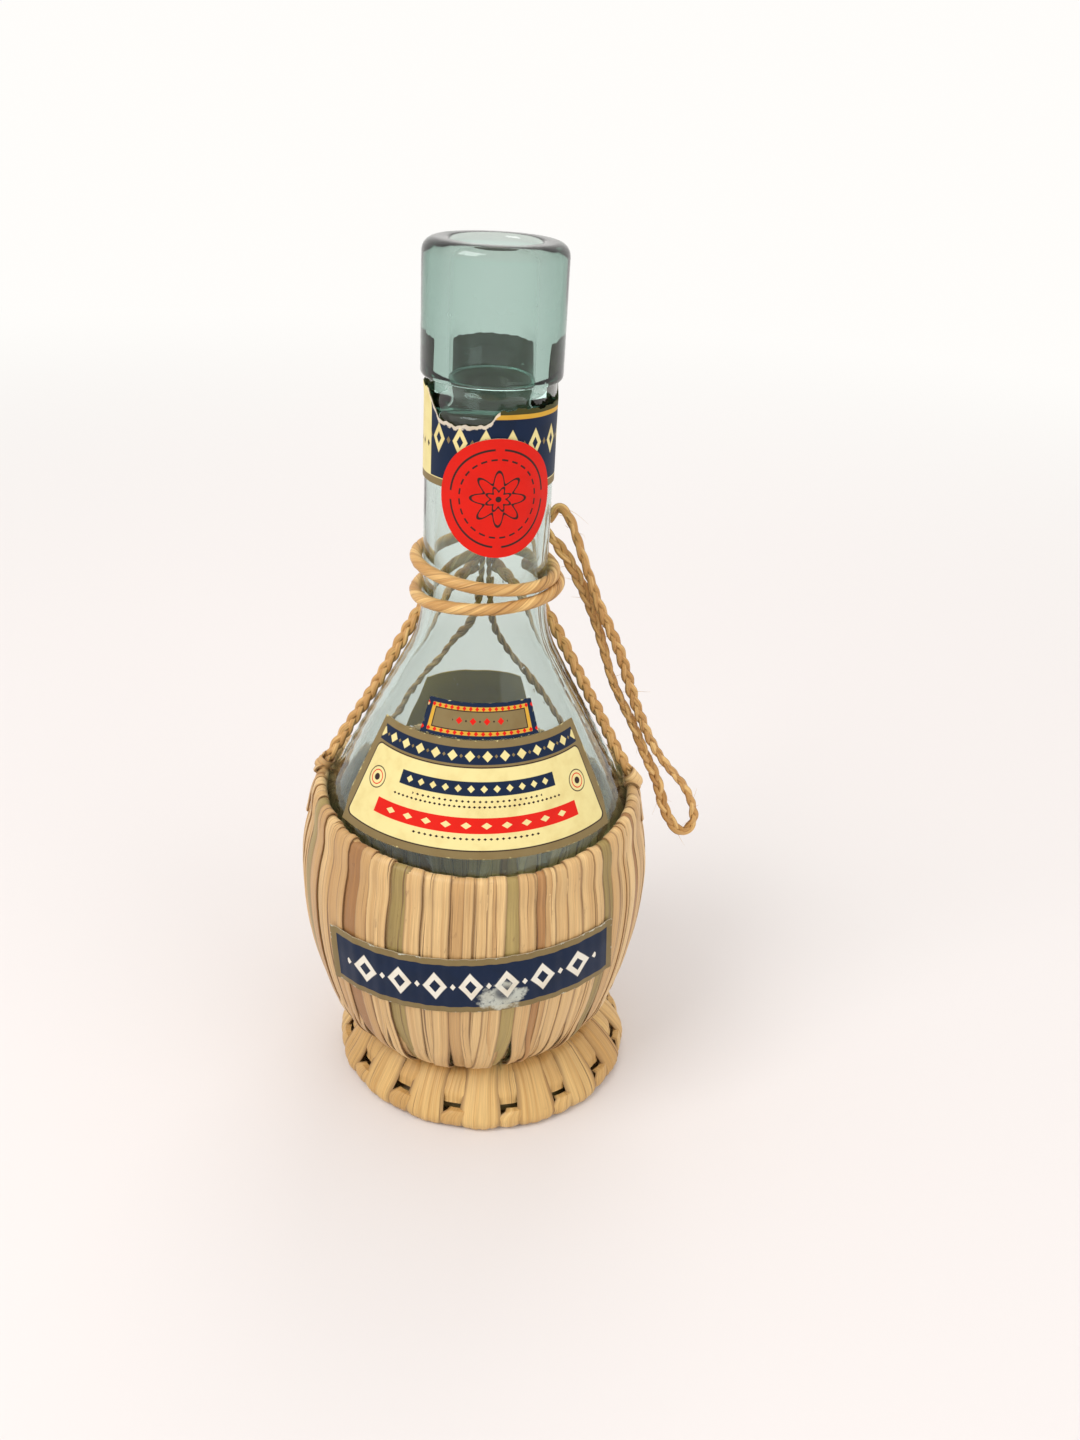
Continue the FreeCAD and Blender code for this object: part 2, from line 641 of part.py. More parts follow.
save("right_back_strap", cord("right_back_strap", RIGHT_BACK_STRAP, BACK_STRAP_D))
save("left_rim_tie", rim_tie(-TIE_SIDE_DEG))
save("right_rim_tie", rim_tie(TIE_SIDE_DEG))
save("hanging_loop", cord("hanging_loop", HANGING_LOOP, LOOP_D))
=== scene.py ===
"""Looks of the straw-covered wine flask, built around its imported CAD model.

Metres, +Z up, front towards -Y.
"""
import math
import random
import bpy
from mathutils import Matrix, Vector


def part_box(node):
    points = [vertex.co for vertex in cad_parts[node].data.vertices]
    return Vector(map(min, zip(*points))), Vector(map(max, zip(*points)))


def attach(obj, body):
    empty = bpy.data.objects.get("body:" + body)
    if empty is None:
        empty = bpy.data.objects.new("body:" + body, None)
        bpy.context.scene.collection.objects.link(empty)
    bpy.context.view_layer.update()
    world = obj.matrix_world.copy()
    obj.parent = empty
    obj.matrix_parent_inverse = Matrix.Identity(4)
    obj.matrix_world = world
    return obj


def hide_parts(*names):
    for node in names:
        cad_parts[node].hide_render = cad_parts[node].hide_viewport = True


bl_info = {
    "name": "Straw-covered wine flask",
    "version": (1, 0, 0),
    "blender": (4, 5, 0),
    "location": "3D View > Sidebar > Flask",
    "description": "Glass, straw basket, plaited foot ring, papers and cords of a small wine flask",
    "category": "Object",
}

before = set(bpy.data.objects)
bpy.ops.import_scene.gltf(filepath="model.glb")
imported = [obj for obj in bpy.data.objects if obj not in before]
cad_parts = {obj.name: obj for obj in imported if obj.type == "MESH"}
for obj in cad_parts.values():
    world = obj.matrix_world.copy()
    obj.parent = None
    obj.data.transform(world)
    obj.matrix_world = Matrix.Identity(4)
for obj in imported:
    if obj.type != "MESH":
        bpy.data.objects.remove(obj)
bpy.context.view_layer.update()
MM = 0.001
# The two bodies: all that stands, and the cord that swings
FLASK, LOOP = "flask", "loop"
# Range of the random starts of waves, in radians
NEARLY_ROUND = 6.28
# Space between the rings of a long cord and of a short tie
CORD_STEP, KNOT_STEP = 0.0003, 0.0004
# Thickness of a flat straw that is wound or plaited
FLAT_STRAW = 0.0004
WARM_WHITE = (1.0, 0.985, 0.96, 1.0)

# Routes of the cords: the points of the part's source, a few moved closer to the photograph
LEFT_STRAP = [
    (-0.0025, 0.0175, 0.1296), (-0.0095, 0.0168, 0.1248), (-0.0158, 0.0114, 0.1185),
    (-0.0206, 0.0058, 0.1104), (-0.0255, 0.0048, 0.1016), (-0.0298, 0.0053, 0.0937),
    (-0.0338, 0.0043, 0.0870), (-0.0383, 0.0033, 0.0800),
]
RIGHT_STRAP = [
    (0.0025, 0.0175, 0.1296), (0.0095, 0.0168, 0.1248), (0.0157, 0.0111, 0.1188),
    (0.0202, 0.0058, 0.1118), (0.0246, 0.0049, 0.1044), (0.0290, 0.0042, 0.0960),
    (0.0336, 0.0029, 0.0876), (0.0384, 0.0007, 0.0800),
]
LEFT_BACK_STRAP = [
    (-0.0014, 0.0166, 0.1264), (-0.0014, 0.0173, 0.1212), (-0.0032, 0.0191, 0.1143),
    (-0.0079, 0.0206, 0.1093), (-0.0123, 0.0216, 0.1040), (-0.0165, 0.0223, 0.0986),
    (-0.0205, 0.0228, 0.0930), (-0.0244, 0.0231, 0.0874), (-0.0282, 0.0234, 0.0817),
]
RIGHT_BACK_STRAP = [
    (0.0014, 0.0166, 0.1264), (0.0014, 0.0173, 0.1212), (0.0023, 0.0193, 0.1146),
    (0.0062, 0.0222, 0.1074), (0.0106, 0.0236, 0.1021), (0.0147, 0.0244, 0.0971),
    (0.0187, 0.0249, 0.0920), (0.0226, 0.0253, 0.0868), (0.0263, 0.0256, 0.0815),
]
HANGING_LOOP = [
    (0.0147, 0.0141, 0.1413), (0.0154, 0.0137, 0.1443), (0.0173, 0.0126, 0.1452),
    (0.0194, 0.0116, 0.1428), (0.0219, 0.0107, 0.1362), (0.0248, 0.0104, 0.1293),
    (0.0275, 0.0108, 0.1220), (0.0308, 0.0117, 0.1151), (0.0341, 0.0129, 0.1081),
    (0.0365, 0.0136, 0.1015), (0.0389, 0.0142, 0.0942), (0.0414, 0.0151, 0.0884),
    (0.0450, 0.0166, 0.0811), (0.0500, 0.0187, 0.0734), (0.0550, 0.0205, 0.0673),
    (0.0580, 0.0215, 0.0612), (0.0592, 0.0219, 0.0555), (0.0560, 0.0208, 0.0519),
    (0.0524, 0.0208, 0.0558), (0.0496, 0.0203, 0.0616), (0.0474, 0.0196, 0.0693),
    (0.0432, 0.0179, 0.0779), (0.0394, 0.0164, 0.0870), (0.0356, 0.0151, 0.0940),
    (0.0322, 0.0141, 0.1013), (0.0304, 0.0134, 0.1079), (0.0275, 0.0132, 0.1164),
    (0.0245, 0.0126, 0.1232), (0.0215, 0.0120, 0.1295), (0.0184, 0.0127, 0.1346),
    (0.0140, 0.0144, 0.1387),
]


def length(name, description, default):
    return bpy.props.FloatProperty(
        name=name, description=description, default=default, precision=5, unit="LENGTH")


def angle(name, description, degrees):
    return bpy.props.FloatProperty(
        name=name, description=description, default=math.radians(degrees), subtype="ANGLE")


def count(name, description, default):
    return bpy.props.IntProperty(name=name, description=description, default=default, min=1)


def factor(name, description, default):
    return bpy.props.FloatProperty(
        name=name, description=description, default=default, min=0.0, max=1.0, subtype="FACTOR")


def colour(name, description, default):
    return bpy.props.FloatVectorProperty(
        name=name, description=description, default=(*default, 1.0), size=4, min=0.0, max=1.0,
        subtype="COLOR")


class FlaskShape(bpy.types.PropertyGroup):
    """Outline of the glass."""
    bulb_radius: length("Belly radius", "Half the width of the glass at its widest", 0.0418)
    bulb_height: length("Belly height", "Height of the widest part over the table", 0.05724)
    belly_curve: length("Belly curve", "Radius of the long curve under the widest part", 0.100)
    corner_curve: length("Corner curve", "Radius of the curve into the bottom", 0.024)
    bottom_height: length("Bottom height", "Height of the glass bottom over the table", 0.009)
    shoulder_curve: length("Shoulder curve", "Radius of the curve above the widest part", 0.045)
    shoulder_slope: angle("Shoulder slope", "Slope of the shoulder from upright", 27.9)
    neck_radius: length("Neck radius", "Radius at the foot of the neck", 0.0142)
    neck_top_radius: length("Neck top radius", "Radius under the collar", 0.0140)
    neck_curve: length("Neck curve", "Radius of the curve from the shoulder into the neck", 0.030)
    neck_length: length("Neck length", "From the foot of the neck to the collar", 0.0495)
    collar_radius: length("Collar radius", "Radius of the thick collar at the mouth", 0.0152)
    collar_height: length("Collar height", "Height of the collar", 0.0263)
    collar_slope: length("Collar slope", "Height of the slope under the collar", 0.0012)
    bore_radius: length("Bore radius", "Radius of the bore for the cork", 0.00925)
    bore_length: length("Bore length", "Straight length of the bore", 0.026)
    bore_flare: length("Bore flare", "Height over which the bore opens into the neck", 0.008)
    lip_curve: length("Lip curve", "Radius of the outer edge of the mouth", 0.0028)
    mouth_curve: length("Mouth curve", "Radius of the inner edge of the mouth", 0.0012)
    wall: length("Glass wall", "Thickness of the glass", 0.0024)


class StrawShape(bpy.types.PropertyGroup):
    """Basket strips and the plaited foot ring."""
    strip_count: count("Strips", "Upright strips round the basket", 40)
    strip_variation: factor("Uneven strips", "How much a strip's width differs", 0.3)
    strip_slit: length("Slit", "Space between strips", 0.0005)
    strip_thickness: length("Strip thickness", "Thickness of a strip of straw", 0.00034)
    gap: length("Gap to glass", "Space between the glass and the straw", 0.00035)
    layer: length("Straw layer", "Thickness of the whole layer of straw", 0.0011)
    rim_over: length("Rim height", "Height of the rim over the belly's widest part", 0.01876)
    rim_rise: length("Rim rise", "How much higher the rim stands at the sides", 0.0035)
    fold_radius: length("Fold radius", "Radius of the strips' fold at the rim", 0.00105)
    foot_ledge: length("Foot ledge", "How far the ring's upper edge stands out from the basket", 0.0013)
    foot_spread: length("Foot spread", "How much wider the ring is at the table", 0.0077)
    foot_bore: length("Foot bore", "Radius of the hollow under the flask", 0.018)
    foot_height: length("Foot height", "Height of the foot ring", 0.012)
    foot_shift: length("Foot shift", "How far the ring sits off the basket's middle", 0.0035)
    plait_count: count("Plaits", "Broad straws round the foot ring", 16)
    plait_wide: angle("Broad straw", "Angle that a broad straw covers", 15.2)
    plait_narrow: angle("Narrow straw", "Angle that a narrow straw covers", 10.0)
    slit_height: length("Slit height", "Height of the slits in the plaiting", 0.0062)


class CordShape(bpy.types.PropertyGroup):
    """Cords of twisted straw."""
    wrap_diameter: length("Neck cord", "Diameter of the cord round the neck", 0.0027)
    strap_diameter: length("Strap", "Diameter of the straps", 0.0034)
    back_diameter: length("Back strap", "Diameter of the thin straps behind", 0.0022)
    loop_diameter: length("Hanging cord", "Diameter of the hanging cord", 0.0026)
    wrap_rise: length("Winding height", "Middle of the two turns over the foot of the neck", 0.0055)
    wrap_spread: length("Winding spread", "Half the height between the turns", 0.0028)
    wrap_side: length("Winding side", "More spread on the left, less on the right", 0.0012)
    wrap_gap: length("Winding gap", "Space between the glass and the cord", 0.0003)
    wrap_slack: length("Winding slack", "How far the lower turn stands off on the right", 0.0012)
    wrap_dip: length("Winding dip", "How much lower the upper turn lies in front", 0.0011)
    wrap_sag: length("Winding sag", "How much lower the lower turn lies on the left", 0.0008)
    wrap_start: angle("Winding start", "Where the winding starts, round from the front", 160.0)
    wrap_end: angle("Winding end", "Where the winding ends", 850.0)
    cross_start: angle("Crossing start", "Where the winding starts down to the lower turn", 480.0)
    cross_end: angle("Crossing end", "Where it has reached the lower turn", 600.0)
    tail_turn: angle("Tail", "Angle over which the tail curls up", 60.0)
    tail_rise: length("Tail rise", "How far the tail curls up", 0.0046)
    tail_out: length("Tail out", "How far the tail stands off the neck", 0.0025)
    knot_radius: length("Knot radius", "Radius of the knot behind the neck", 0.0028)
    knot_length: length("Knot length", "Length of the knot", 0.0046)
    tie_left: angle("Left tie", "Where the left strap is tied, round from the front", -95.0)
    tie_right: angle("Right tie", "Where the right strap is tied, round from the front", 91.0)
    tie_slope: angle("Tie slope", "Slope of the ties from upright", 35.8)
    tie_length: length("Tie length", "Length of the lashing on a strap", 0.0050)


class PaperShape(bpy.types.PropertyGroup):
    """Sizes and places of the papers."""
    thickness: length("Paper thickness", "Thickness of the papers", 0.00022)
    gap: length("Paper gap", "Space under a paper", 0.0001)
    neck_height: length("Neck paper height", "Height of the paper round the neck", 0.0205)
    neck_drop: length("Neck paper drop", "Its top under the collar's slope", 0.0010)
    neck_span: angle("Neck paper span", "Angle it covers", 357.0)
    neck_mid: angle("Neck paper middle", "Its middle, round from the front", 70.0)
    print_mid: angle("Neck print middle", "Middle of its print, round from the front", 8.0)
    flap_span: angle("Neck flap span", "Angle over which it reaches up on the collar behind", 150.0)
    flap_rise: length("Neck flap rise", "How far it reaches up on the collar", 0.0058)
    seal_radius: length("Seal radius", "Radius of the round seal", 0.0129)
    seal_drop: length("Seal drop", "The seal's middle under the neck paper's top", 0.0215)
    seal_mid: angle("Seal middle", "The seal's middle, round from the front", 8.8)
    front_rise: length("Main paper rise", "Bottom of the main paper over the rim", 0.0032)
    front_height: length("Main paper height", "Height of the main paper", 0.0233)
    front_span: angle("Main paper span", "Angle it covers", 122.0)
    small_rise: length("Small paper rise", "Bottom of the small paper over the main paper", 0.0002)
    small_height: length("Small paper height", "Height of the small paper", 0.0072)
    small_span: angle("Small paper span", "Angle it covers", 67.0)
    back_height: length("Back paper height", "Height of the paper on the back of the slope", 0.0183)
    back_span: angle("Back paper span", "Angle it covers", 60.0)
    back_mid: angle("Back paper middle", "Its middle, round from the front", 185.0)
    band_width: length("Band width", "Straight width of the paper across the basket", 0.066)
    band_height: length("Band height", "Height of the paper across the basket", 0.0158)
    band_drop: length("Band drop", "Its middle under the belly's widest part", 0.00794)
    band_tilt: angle("Band tilt", "How much its right end stands up", 3.9)


class FlaskFinish(bpy.types.PropertyGroup):
    """Colours of the glass, straw and papers."""
    glass: colour("Glass", "Tint of the glass in thick places", (0.35, 0.56, 0.49))
    glass_skin: colour("Glass skin", "Tint of the glass at its surface", (0.96, 0.985, 0.975))
    glass_shade: colour("Glass shade", "Tint of lamp light through the glass", (0.95, 0.975, 0.96))
    straw_pale: colour("Pale straw", "Most of the strips", (0.80, 0.545, 0.25))
    straw_pale_deep: colour("Pale straw, deep", "Darker fibres of pale strips", (0.50, 0.275, 0.10))
    straw_red: colour("Reddish straw", "Reddish strips", (0.50, 0.26, 0.095))
    straw_red_deep: colour("Reddish straw, deep", "Darker fibres of reddish strips", (0.29, 0.125, 0.035))
    straw_olive: colour("Olive straw", "Greenish strips", (0.43, 0.31, 0.105))
    straw_olive_deep: colour("Olive straw, deep", "Darker fibres of greenish strips", (0.25, 0.165, 0.045))
    straw_foot: colour("Golden straw", "Plaiting of the foot ring", (0.77, 0.51, 0.20))
    straw_foot_deep: colour("Golden straw, deep", "Darker fibres of the plaiting", (0.50, 0.265, 0.075))
    cord: colour("Cord", "Twisted straw of the cords", (0.90, 0.585, 0.225))
    cord_deep: colour("Cord, deep", "Darker fibres of the cords", (0.46, 0.205, 0.045))
    # Colour of the straw's real spots and splits, and also of the painted shade along each straw's edges
    stain_and_edge_shade: colour("Stain", "Brown spots of old straw", (0.14, 0.06, 0.02))
    navy: colour("Navy", "Dark blue print", (0.004, 0.014, 0.044))
    gold: colour("Gold", "Dull gold print", (0.22, 0.158, 0.066))
    bright_gold: colour("Bright gold", "Yellow gold of the small paper's border", (0.64, 0.36, 0.04))
    cream: colour("Cream", "Aged cream paper", (0.77, 0.66, 0.30))
    red: colour("Red", "Red print and seal", (0.68, 0.010, 0.003))
    ink: colour("Ink", "Dark brown lines", (0.030, 0.014, 0.012))
    paper_back: colour("Paper back", "Back of the papers", (0.50, 0.43, 0.30))
    plain: colour("Plain paper", "Brownish paper on the back of the slope", (0.36, 0.27, 0.12))
    # Old glue colour, made brighter and yellower as painted light for the light that shines through the paper
    # onto its back
    glue: colour("Glue", "Old glue behind that paper, seen through the glass", (0.78, 0.47, 0.02))
    neck_glue: colour("Neck glue", "Old glue inside the neck paper", (0.060, 0.055, 0.012))
    white: colour("White", "Pale print on the basket's paper", (0.80, 0.76, 0.66))
    bare: colour("Bare paper", "Worn place on the basket's paper", (0.62, 0.64, 0.56))
    torn: colour("Torn paper", "Torn edge of the neck paper", (0.80, 0.70, 0.56))
    paper_stain: colour("Paper stain", "Brown stains of old paper", (0.72, 0.58, 0.40))
    paper_tooth: colour("Paper tooth", "Darker tooth on the back of papers", (0.55, 0.48, 0.38))


class FlaskStudio(bpy.types.PropertyGroup):
    """Camera, floor and lights."""
    camera_place: bpy.props.FloatVectorProperty(
        name="Camera", description="Place of the camera", default=(0.0, -0.27881, 0.23797),
        subtype="TRANSLATION")
    camera_pitch: angle("Pitch", "How far the camera looks down", 26.96)
    camera_yaw: angle("Yaw", "How far the camera looks to the right", 2.96)
    camera_roll: angle("Roll", "How far the camera is turned about its view", 3.32)
    focal: bpy.props.FloatProperty(
        name="Lens", description="Focal length, in mm, on the 36 mm side", default=32.5)
    floor_colour: colour("Floor", "Colour of the plain floor", (0.74, 0.70, 0.69))


def settings(*names):
    """The scene's groups of settings, by their short names."""
    return [getattr(bpy.context.scene, "flask_" + name) for name in names]


def around(radius, turn, height):
    """A point at a turn from the front, towards the right."""
    return Vector((radius * math.sin(turn), -radius * math.cos(turn), height))


def ease(share):
    """A smooth step from 0 to 1."""
    share = min(max(share, 0.0), 1.0)
    return (1 - math.cos(math.pi * share)) / 2


def phases(draw, number):
    """Random starts for that many waves."""
    return [draw.uniform(0, NEARLY_ROUND) for _ in range(number)]


class Outline:
    """The flask's outside as radii and heights, worked out from its shape."""

    def __init__(self, shape):
        self.shape = shape
        self.cos, self.sin = math.cos(shape.shoulder_slope), math.sin(shape.shoulder_slope)
        curves = shape.shoulder_curve + shape.neck_curve
        cone = (shape.bulb_radius - shape.neck_radius - curves * (1 - self.cos)) / self.sin
        self.neck_base = shape.bulb_height + curves * self.sin + cone * self.cos
        self.neck_top = self.neck_base + shape.neck_length
        self.collar = self.neck_top + shape.collar_slope
        self.top = self.collar + shape.collar_height
        self.shoulder = (shape.bulb_radius - shape.shoulder_curve, shape.bulb_height)
        self.belly = (shape.bulb_radius - shape.belly_curve, shape.bulb_height)
        corner_z = shape.bottom_height + shape.corner_curve
        reach = shape.belly_curve - shape.corner_curve
        self.corner = (self.belly[0] + math.sqrt(reach ** 2 - (shape.bulb_height - corner_z) ** 2), corner_z)
        self.corner_turn = math.atan2(corner_z - shape.bulb_height, self.corner[0] - self.belly[0])
        self.flare = (shape.neck_radius + shape.neck_curve, self.neck_base)
        self.cone_reach = self.cos * self.flare[0] + self.sin * self.flare[1] - shape.neck_curve

    def at_turn(self, turn, offset):
        """Radius and height where the surface faces a turn from level, from straight down to the shoulder."""
        centre, radius = self.shoulder, self.shape.shoulder_curve
        if turn < 0:
            centre, radius = self.belly, self.shape.belly_curve
        if turn < self.corner_turn:
            centre, radius = self.corner, self.shape.corner_curve
        return centre[0] + (radius + offset) * math.cos(turn), centre[1] + (radius + offset) * math.sin(turn)

    def turn_at(self, height, offset):
        radius = self.shape.shoulder_curve if height > self.shape.bulb_height else self.shape.belly_curve
        return math.asin((height - self.shape.bulb_height) / (radius + offset))

    def body_radius(self, height, offset):
        """Radius of the belly and the lower shoulder at a height."""
        return self.at_turn(self.turn_at(height, offset), offset)[0]

    def cone_radius(self, height, offset):
        return (self.cone_reach + offset - self.sin * height) / self.cos

    def neck_radius(self, height):
        share = (height - self.neck_base) / self.shape.neck_length
        return self.shape.neck_radius + (self.shape.neck_top_radius - self.shape.neck_radius) * share

    def rim_height(self, straw, turn):
        return self.shape.bulb_height + straw.rim_over + straw.rim_rise * math.sin(turn) ** 2


def arc_points(centre, radius, start, end, steps):
    """Points of an arc, from one turn to another."""
    turns = [start + (end - start) * i / steps for i in range(steps + 1)]
    return [(centre[0] + radius * math.cos(a), centre[1] + radius * math.sin(a)) for a in turns]


def flask_profile(outline):
    """The section of the glass: from the middle of its bottom up outside, over the mouth and down inside."""
    shape = outline.shape
    wall = shape.wall
    slope = shape.shoulder_slope
    corner_turn = outline.corner_turn

    def body(offset):
        points = [(0.0, shape.bottom_height - offset)]
        points += arc_points(outline.corner, shape.corner_curve + offset, -math.pi / 2, corner_turn, 18)
        points += arc_points(outline.belly, shape.belly_curve + offset, corner_turn, 0.0, 14)[1:]
        points += arc_points(outline.shoulder, shape.shoulder_curve + offset, 0.0, slope, 14)[1:]
        points += arc_points(outline.flare, shape.neck_curve - offset, math.pi + slope, math.pi, 16)
        return points

    bore_top = outline.top - shape.mouth_curve
    bore_end = bore_top - shape.bore_length
    throat = bore_end - shape.bore_flare
    points = body(0.0)
    neck_steps, flare_steps = 6, 8
    for i in range(1, neck_steps + 1):
        z = outline.neck_base + shape.neck_length * i / neck_steps
        points.append((outline.neck_radius(z), z))
    ledge = shape.collar_radius - shape.neck_top_radius
    collar_edge = ((0.12, 0.02), (0.45, 0.08), (0.72, 0.22), (0.92, 0.52), (1.0, 1.05), (1.0, 2.2))
    for out, rise in collar_edge:
        points.append((shape.neck_top_radius + out * ledge, outline.neck_top + rise * shape.collar_slope))
    points.append((shape.collar_radius, (outline.collar + outline.top) / 2))
    lip = (shape.collar_radius - shape.lip_curve, outline.top - shape.lip_curve)
    mouth = (shape.bore_radius + shape.mouth_curve, bore_top)
    points += arc_points(lip, shape.lip_curve, 0.0, math.pi / 2, 10)
    points += arc_points(mouth, shape.mouth_curve, math.pi / 2, math.pi, 8)
    points += [(shape.bore_radius, (bore_top + bore_end) / 2), (shape.bore_radius, bore_end)]
    opening = outline.neck_radius(throat) - wall - shape.bore_radius
    for i in range(1, flare_steps + 1):
        share = i / flare_steps
        points.append((shape.bore_radius + opening * ease(share), bore_end + (throat - bore_end) * share))
    halfway = (throat + outline.neck_base) / 2
    points.append((outline.neck_radius(halfway) - wall, halfway))
    points += reversed(body(-wall))
    return points


def deselect():
    if bpy.context.object and bpy.context.object.mode != "OBJECT":
        bpy.ops.object.mode_set(mode="OBJECT")
    bpy.ops.object.select_all(action="DESELECT")


def activate(piece):
    deselect()
    piece.select_set(True)
    bpy.context.view_layer.objects.active = piece


def named(name):
    """The object that an operator has just made, under its own name."""
    piece = bpy.context.object
    piece.name = name
    piece.data.name = name
    return piece


def spun(name, profile, steps):
    """A body of revolution: one point drawn along a section, then spun about the upright axis."""
    deselect()
    bpy.ops.mesh.primitive_plane_add(size=MM)
    piece = named(name)
    bpy.ops.object.mode_set(mode="EDIT")
    bpy.ops.mesh.select_all(action="SELECT")
    bpy.ops.mesh.merge(type="CENTER")
    bpy.ops.transform.translate(value=(profile[0][0], 0.0, profile[0][1]))
    for (r0, z0), (r1, z1) in zip(profile, profile[1:]):
        bpy.ops.mesh.extrude_region_move(TRANSFORM_OT_translate={"value": (r1 - r0, 0.0, z1 - z0)})
    bpy.ops.mesh.select_all(action="SELECT")
    bpy.ops.mesh.spin(steps=steps, angle=math.tau, center=(0, 0, 0), axis=(0, 0, 1))
    bpy.ops.mesh.select_all(action="SELECT")
    bpy.ops.mesh.remove_doubles(threshold=1e-6)
    bpy.ops.mesh.normals_make_consistent(inside=False)
    bpy.ops.object.mode_set(mode="OBJECT")
    bpy.ops.object.shade_smooth()
    return piece


def keep_marks(mesh, grain, edge=()):
    """Keep each point's print or grain, and how near a straw's edge it lies, for the painted shade along
    straw edges in the materials.
    """
    marks = mesh.attributes.new("grain", "FLOAT_VECTOR", "POINT")
    for mark, value in zip(marks.data, grain):
        mark.vector = value
    if edge:
        marks = mesh.attributes.new("edge", "FLOAT", "POINT")
        for mark, value in zip(marks.data, edge):
            mark.value = value


def laid_sheet(name, across, along, place, print_at):
    """A grid of faces, each point laid by its shares across and along, with its print or grain."""
    deselect()
    bpy.ops.mesh.primitive_grid_add(x_subdivisions=across, y_subdivisions=along, size=1.0)
    piece = named(name)
    mesh = piece.data
    shares = [(vertex.co.x + 0.5, vertex.co.y + 0.5) for vertex in mesh.vertices]
    keep_marks(mesh, [print_at(s, t) for s, t in shares], [abs(2 * s - 1) for s, _ in shares])
    for vertex, (s, t) in zip(mesh.vertices, shares):
        vertex.co = place(s, t)
    return piece


def thicken(piece, thickness, back_material=0):
    """Give a sheet its thickness, with another material on its back where one is wanted."""
    activate(piece)
    solid = piece.modifiers.new("Thickness", "SOLIDIFY")
    solid.thickness = thickness
    solid.offset = 0.0
    solid.material_offset = back_material
    solid.material_offset_rim = back_material
    bpy.ops.object.modifier_apply(modifier=solid.name)
    bpy.ops.object.shade_smooth_by_angle(angle=math.radians(50))


def joined(name, pieces):
    activate(pieces[0])
    for piece in pieces:
        piece.select_set(True)
    bpy.ops.object.join()
    return named(name)


def finish_piece(piece, material, nodes, body=FLASK):
    """Give a piece its material, unless it has some, hide the CAD nodes whose place it takes, and let it ride
    on its body.
    """
    if not piece.data.materials:
        piece.data.materials.append(material)
    if nodes:
        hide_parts(*nodes)
    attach(piece, body)


def finish_paper(piece, printed, node, back=None):
    """Give a paper its print, its back and its thickness."""
    finish_piece(piece, printed, [node])
    piece.data.materials.append(back or paper_back())
    thicken(piece, bpy.context.scene.flask_paper.thickness, back_material=1)


class Graph:
    """Short words for building a node tree."""

    def __init__(self, tree):
        self.tree = tree
        tree.nodes.clear()

    def add(self, kind, inputs=(), **values):
        node = self.tree.nodes.new(kind)
        for key, value in values.items():
            setattr(node, key, value)
        for key, value in dict(inputs).items():
            self.feed(node.inputs[key], value)
        return node

    def feed(self, socket, value):
        if isinstance(value, bpy.types.NodeSocket):
            self.tree.links.new(value, socket)
        else:
            socket.default_value = value

    def math(self, operation, a, b=0.0, c=0.0):
        return self.add("ShaderNodeMath", {0: a, 1: b, 2: c}, operation=operation).outputs[0]

    def plus(self, a, b):
        return self.math("ADD", a, b)

    def minus(self, a, b):
        return self.math("SUBTRACT", a, b)

    def both(self, a, b):
        return self.math("MULTIPLY", a, b)

    def ratio(self, a, b):
        return self.math("DIVIDE", a, b)

    def either(self, a, b):
        return self.math("MAXIMUM", a, b)

    def size(self, a):
        return self.math("ABSOLUTE", a)

    def far(self, across, up):
        """Straight distance of a way across and up."""
        return self.math("SQRT", self.plus(self.both(across, across), self.both(up, up)))

    def mix(self, share, a, b):
        node = self.add("ShaderNodeMix", {0: share, 6: a, 7: b}, data_type="RGBA", clamp_factor=True)
        return node.outputs[2]

    def multiply(self, share, a, b):
        node = self.add("ShaderNodeMix", {0: share, 6: a, 7: b}, data_type="RGBA", blend_type="MULTIPLY")
        return node.outputs[2]

    def step(self, value, low, high):
        """0 below low and 1 above high, with a smooth edge; low over high turns it round."""
        inputs = {"Value": value, "From Min": low, "From Max": high}
        return self.add("ShaderNodeMapRange", inputs, interpolation_type="SMOOTHSTEP").outputs[0]

    def span(self, value, low, high, to_low, to_high):
        inputs = {"Value": value, "From Min": low, "From Max": high, "To Min": to_low, "To Max": to_high}
        return self.add("ShaderNodeMapRange", inputs).outputs[0]

    def scaled(self, vector, scale):
        return self.add("ShaderNodeVectorMath", {0: vector, 1: scale}, operation="MULTIPLY").outputs[0]

    def noise(self, vector, scale=1.0, detail=3.0, roughness=0.55):
        inputs = {"Vector": vector, "Scale": scale, "Detail": detail, "Roughness": roughness}
        return self.add("ShaderNodeTexNoise", inputs).outputs[0]

    def apart(self, vector):
        return self.add("ShaderNodeSeparateXYZ", {0: vector}).outputs[:]

    def attribute(self, name, output):
        return self.add("ShaderNodeAttribute", attribute_name=name).outputs[output]

    def bump(self, strength, distance, height):
        inputs = {"Strength": strength, "Distance": distance, "Height": height}
        return self.add("ShaderNodeBump", inputs).outputs[0]

    def surface(self, inputs):
        """The shader of an opaque material."""
        shader = self.add("ShaderNodeBsdfPrincipled", inputs)
        self.add("ShaderNodeOutputMaterial", {"Surface": shader.outputs[0]})

    def seen(self):
        """1 where the camera looks, straight, off a shiny surface or through glass."""
        path = self.add("ShaderNodeLightPath").outputs
        straight = self.either(path["Is Camera Ray"], path["Is Glossy Ray"])
        return self.either(straight, path["Is Transmission Ray"])


def node_group(name, inputs, outputs):
    """An empty shader group with its named sockets: its graph, what comes in and where it goes out."""
    tree = bpy.data.node_groups.new(name, "ShaderNodeTree")
    graph = Graph(tree)
    for label, kind in inputs:
        tree.interface.new_socket(name=label, in_out="INPUT", socket_type="NodeSocket" + kind)
    for label, kind in outputs:
        tree.interface.new_socket(name=label, in_out="OUTPUT", socket_type="NodeSocket" + kind)
    return graph, graph.add("NodeGroupInput").outputs, graph.add("NodeGroupOutput").inputs


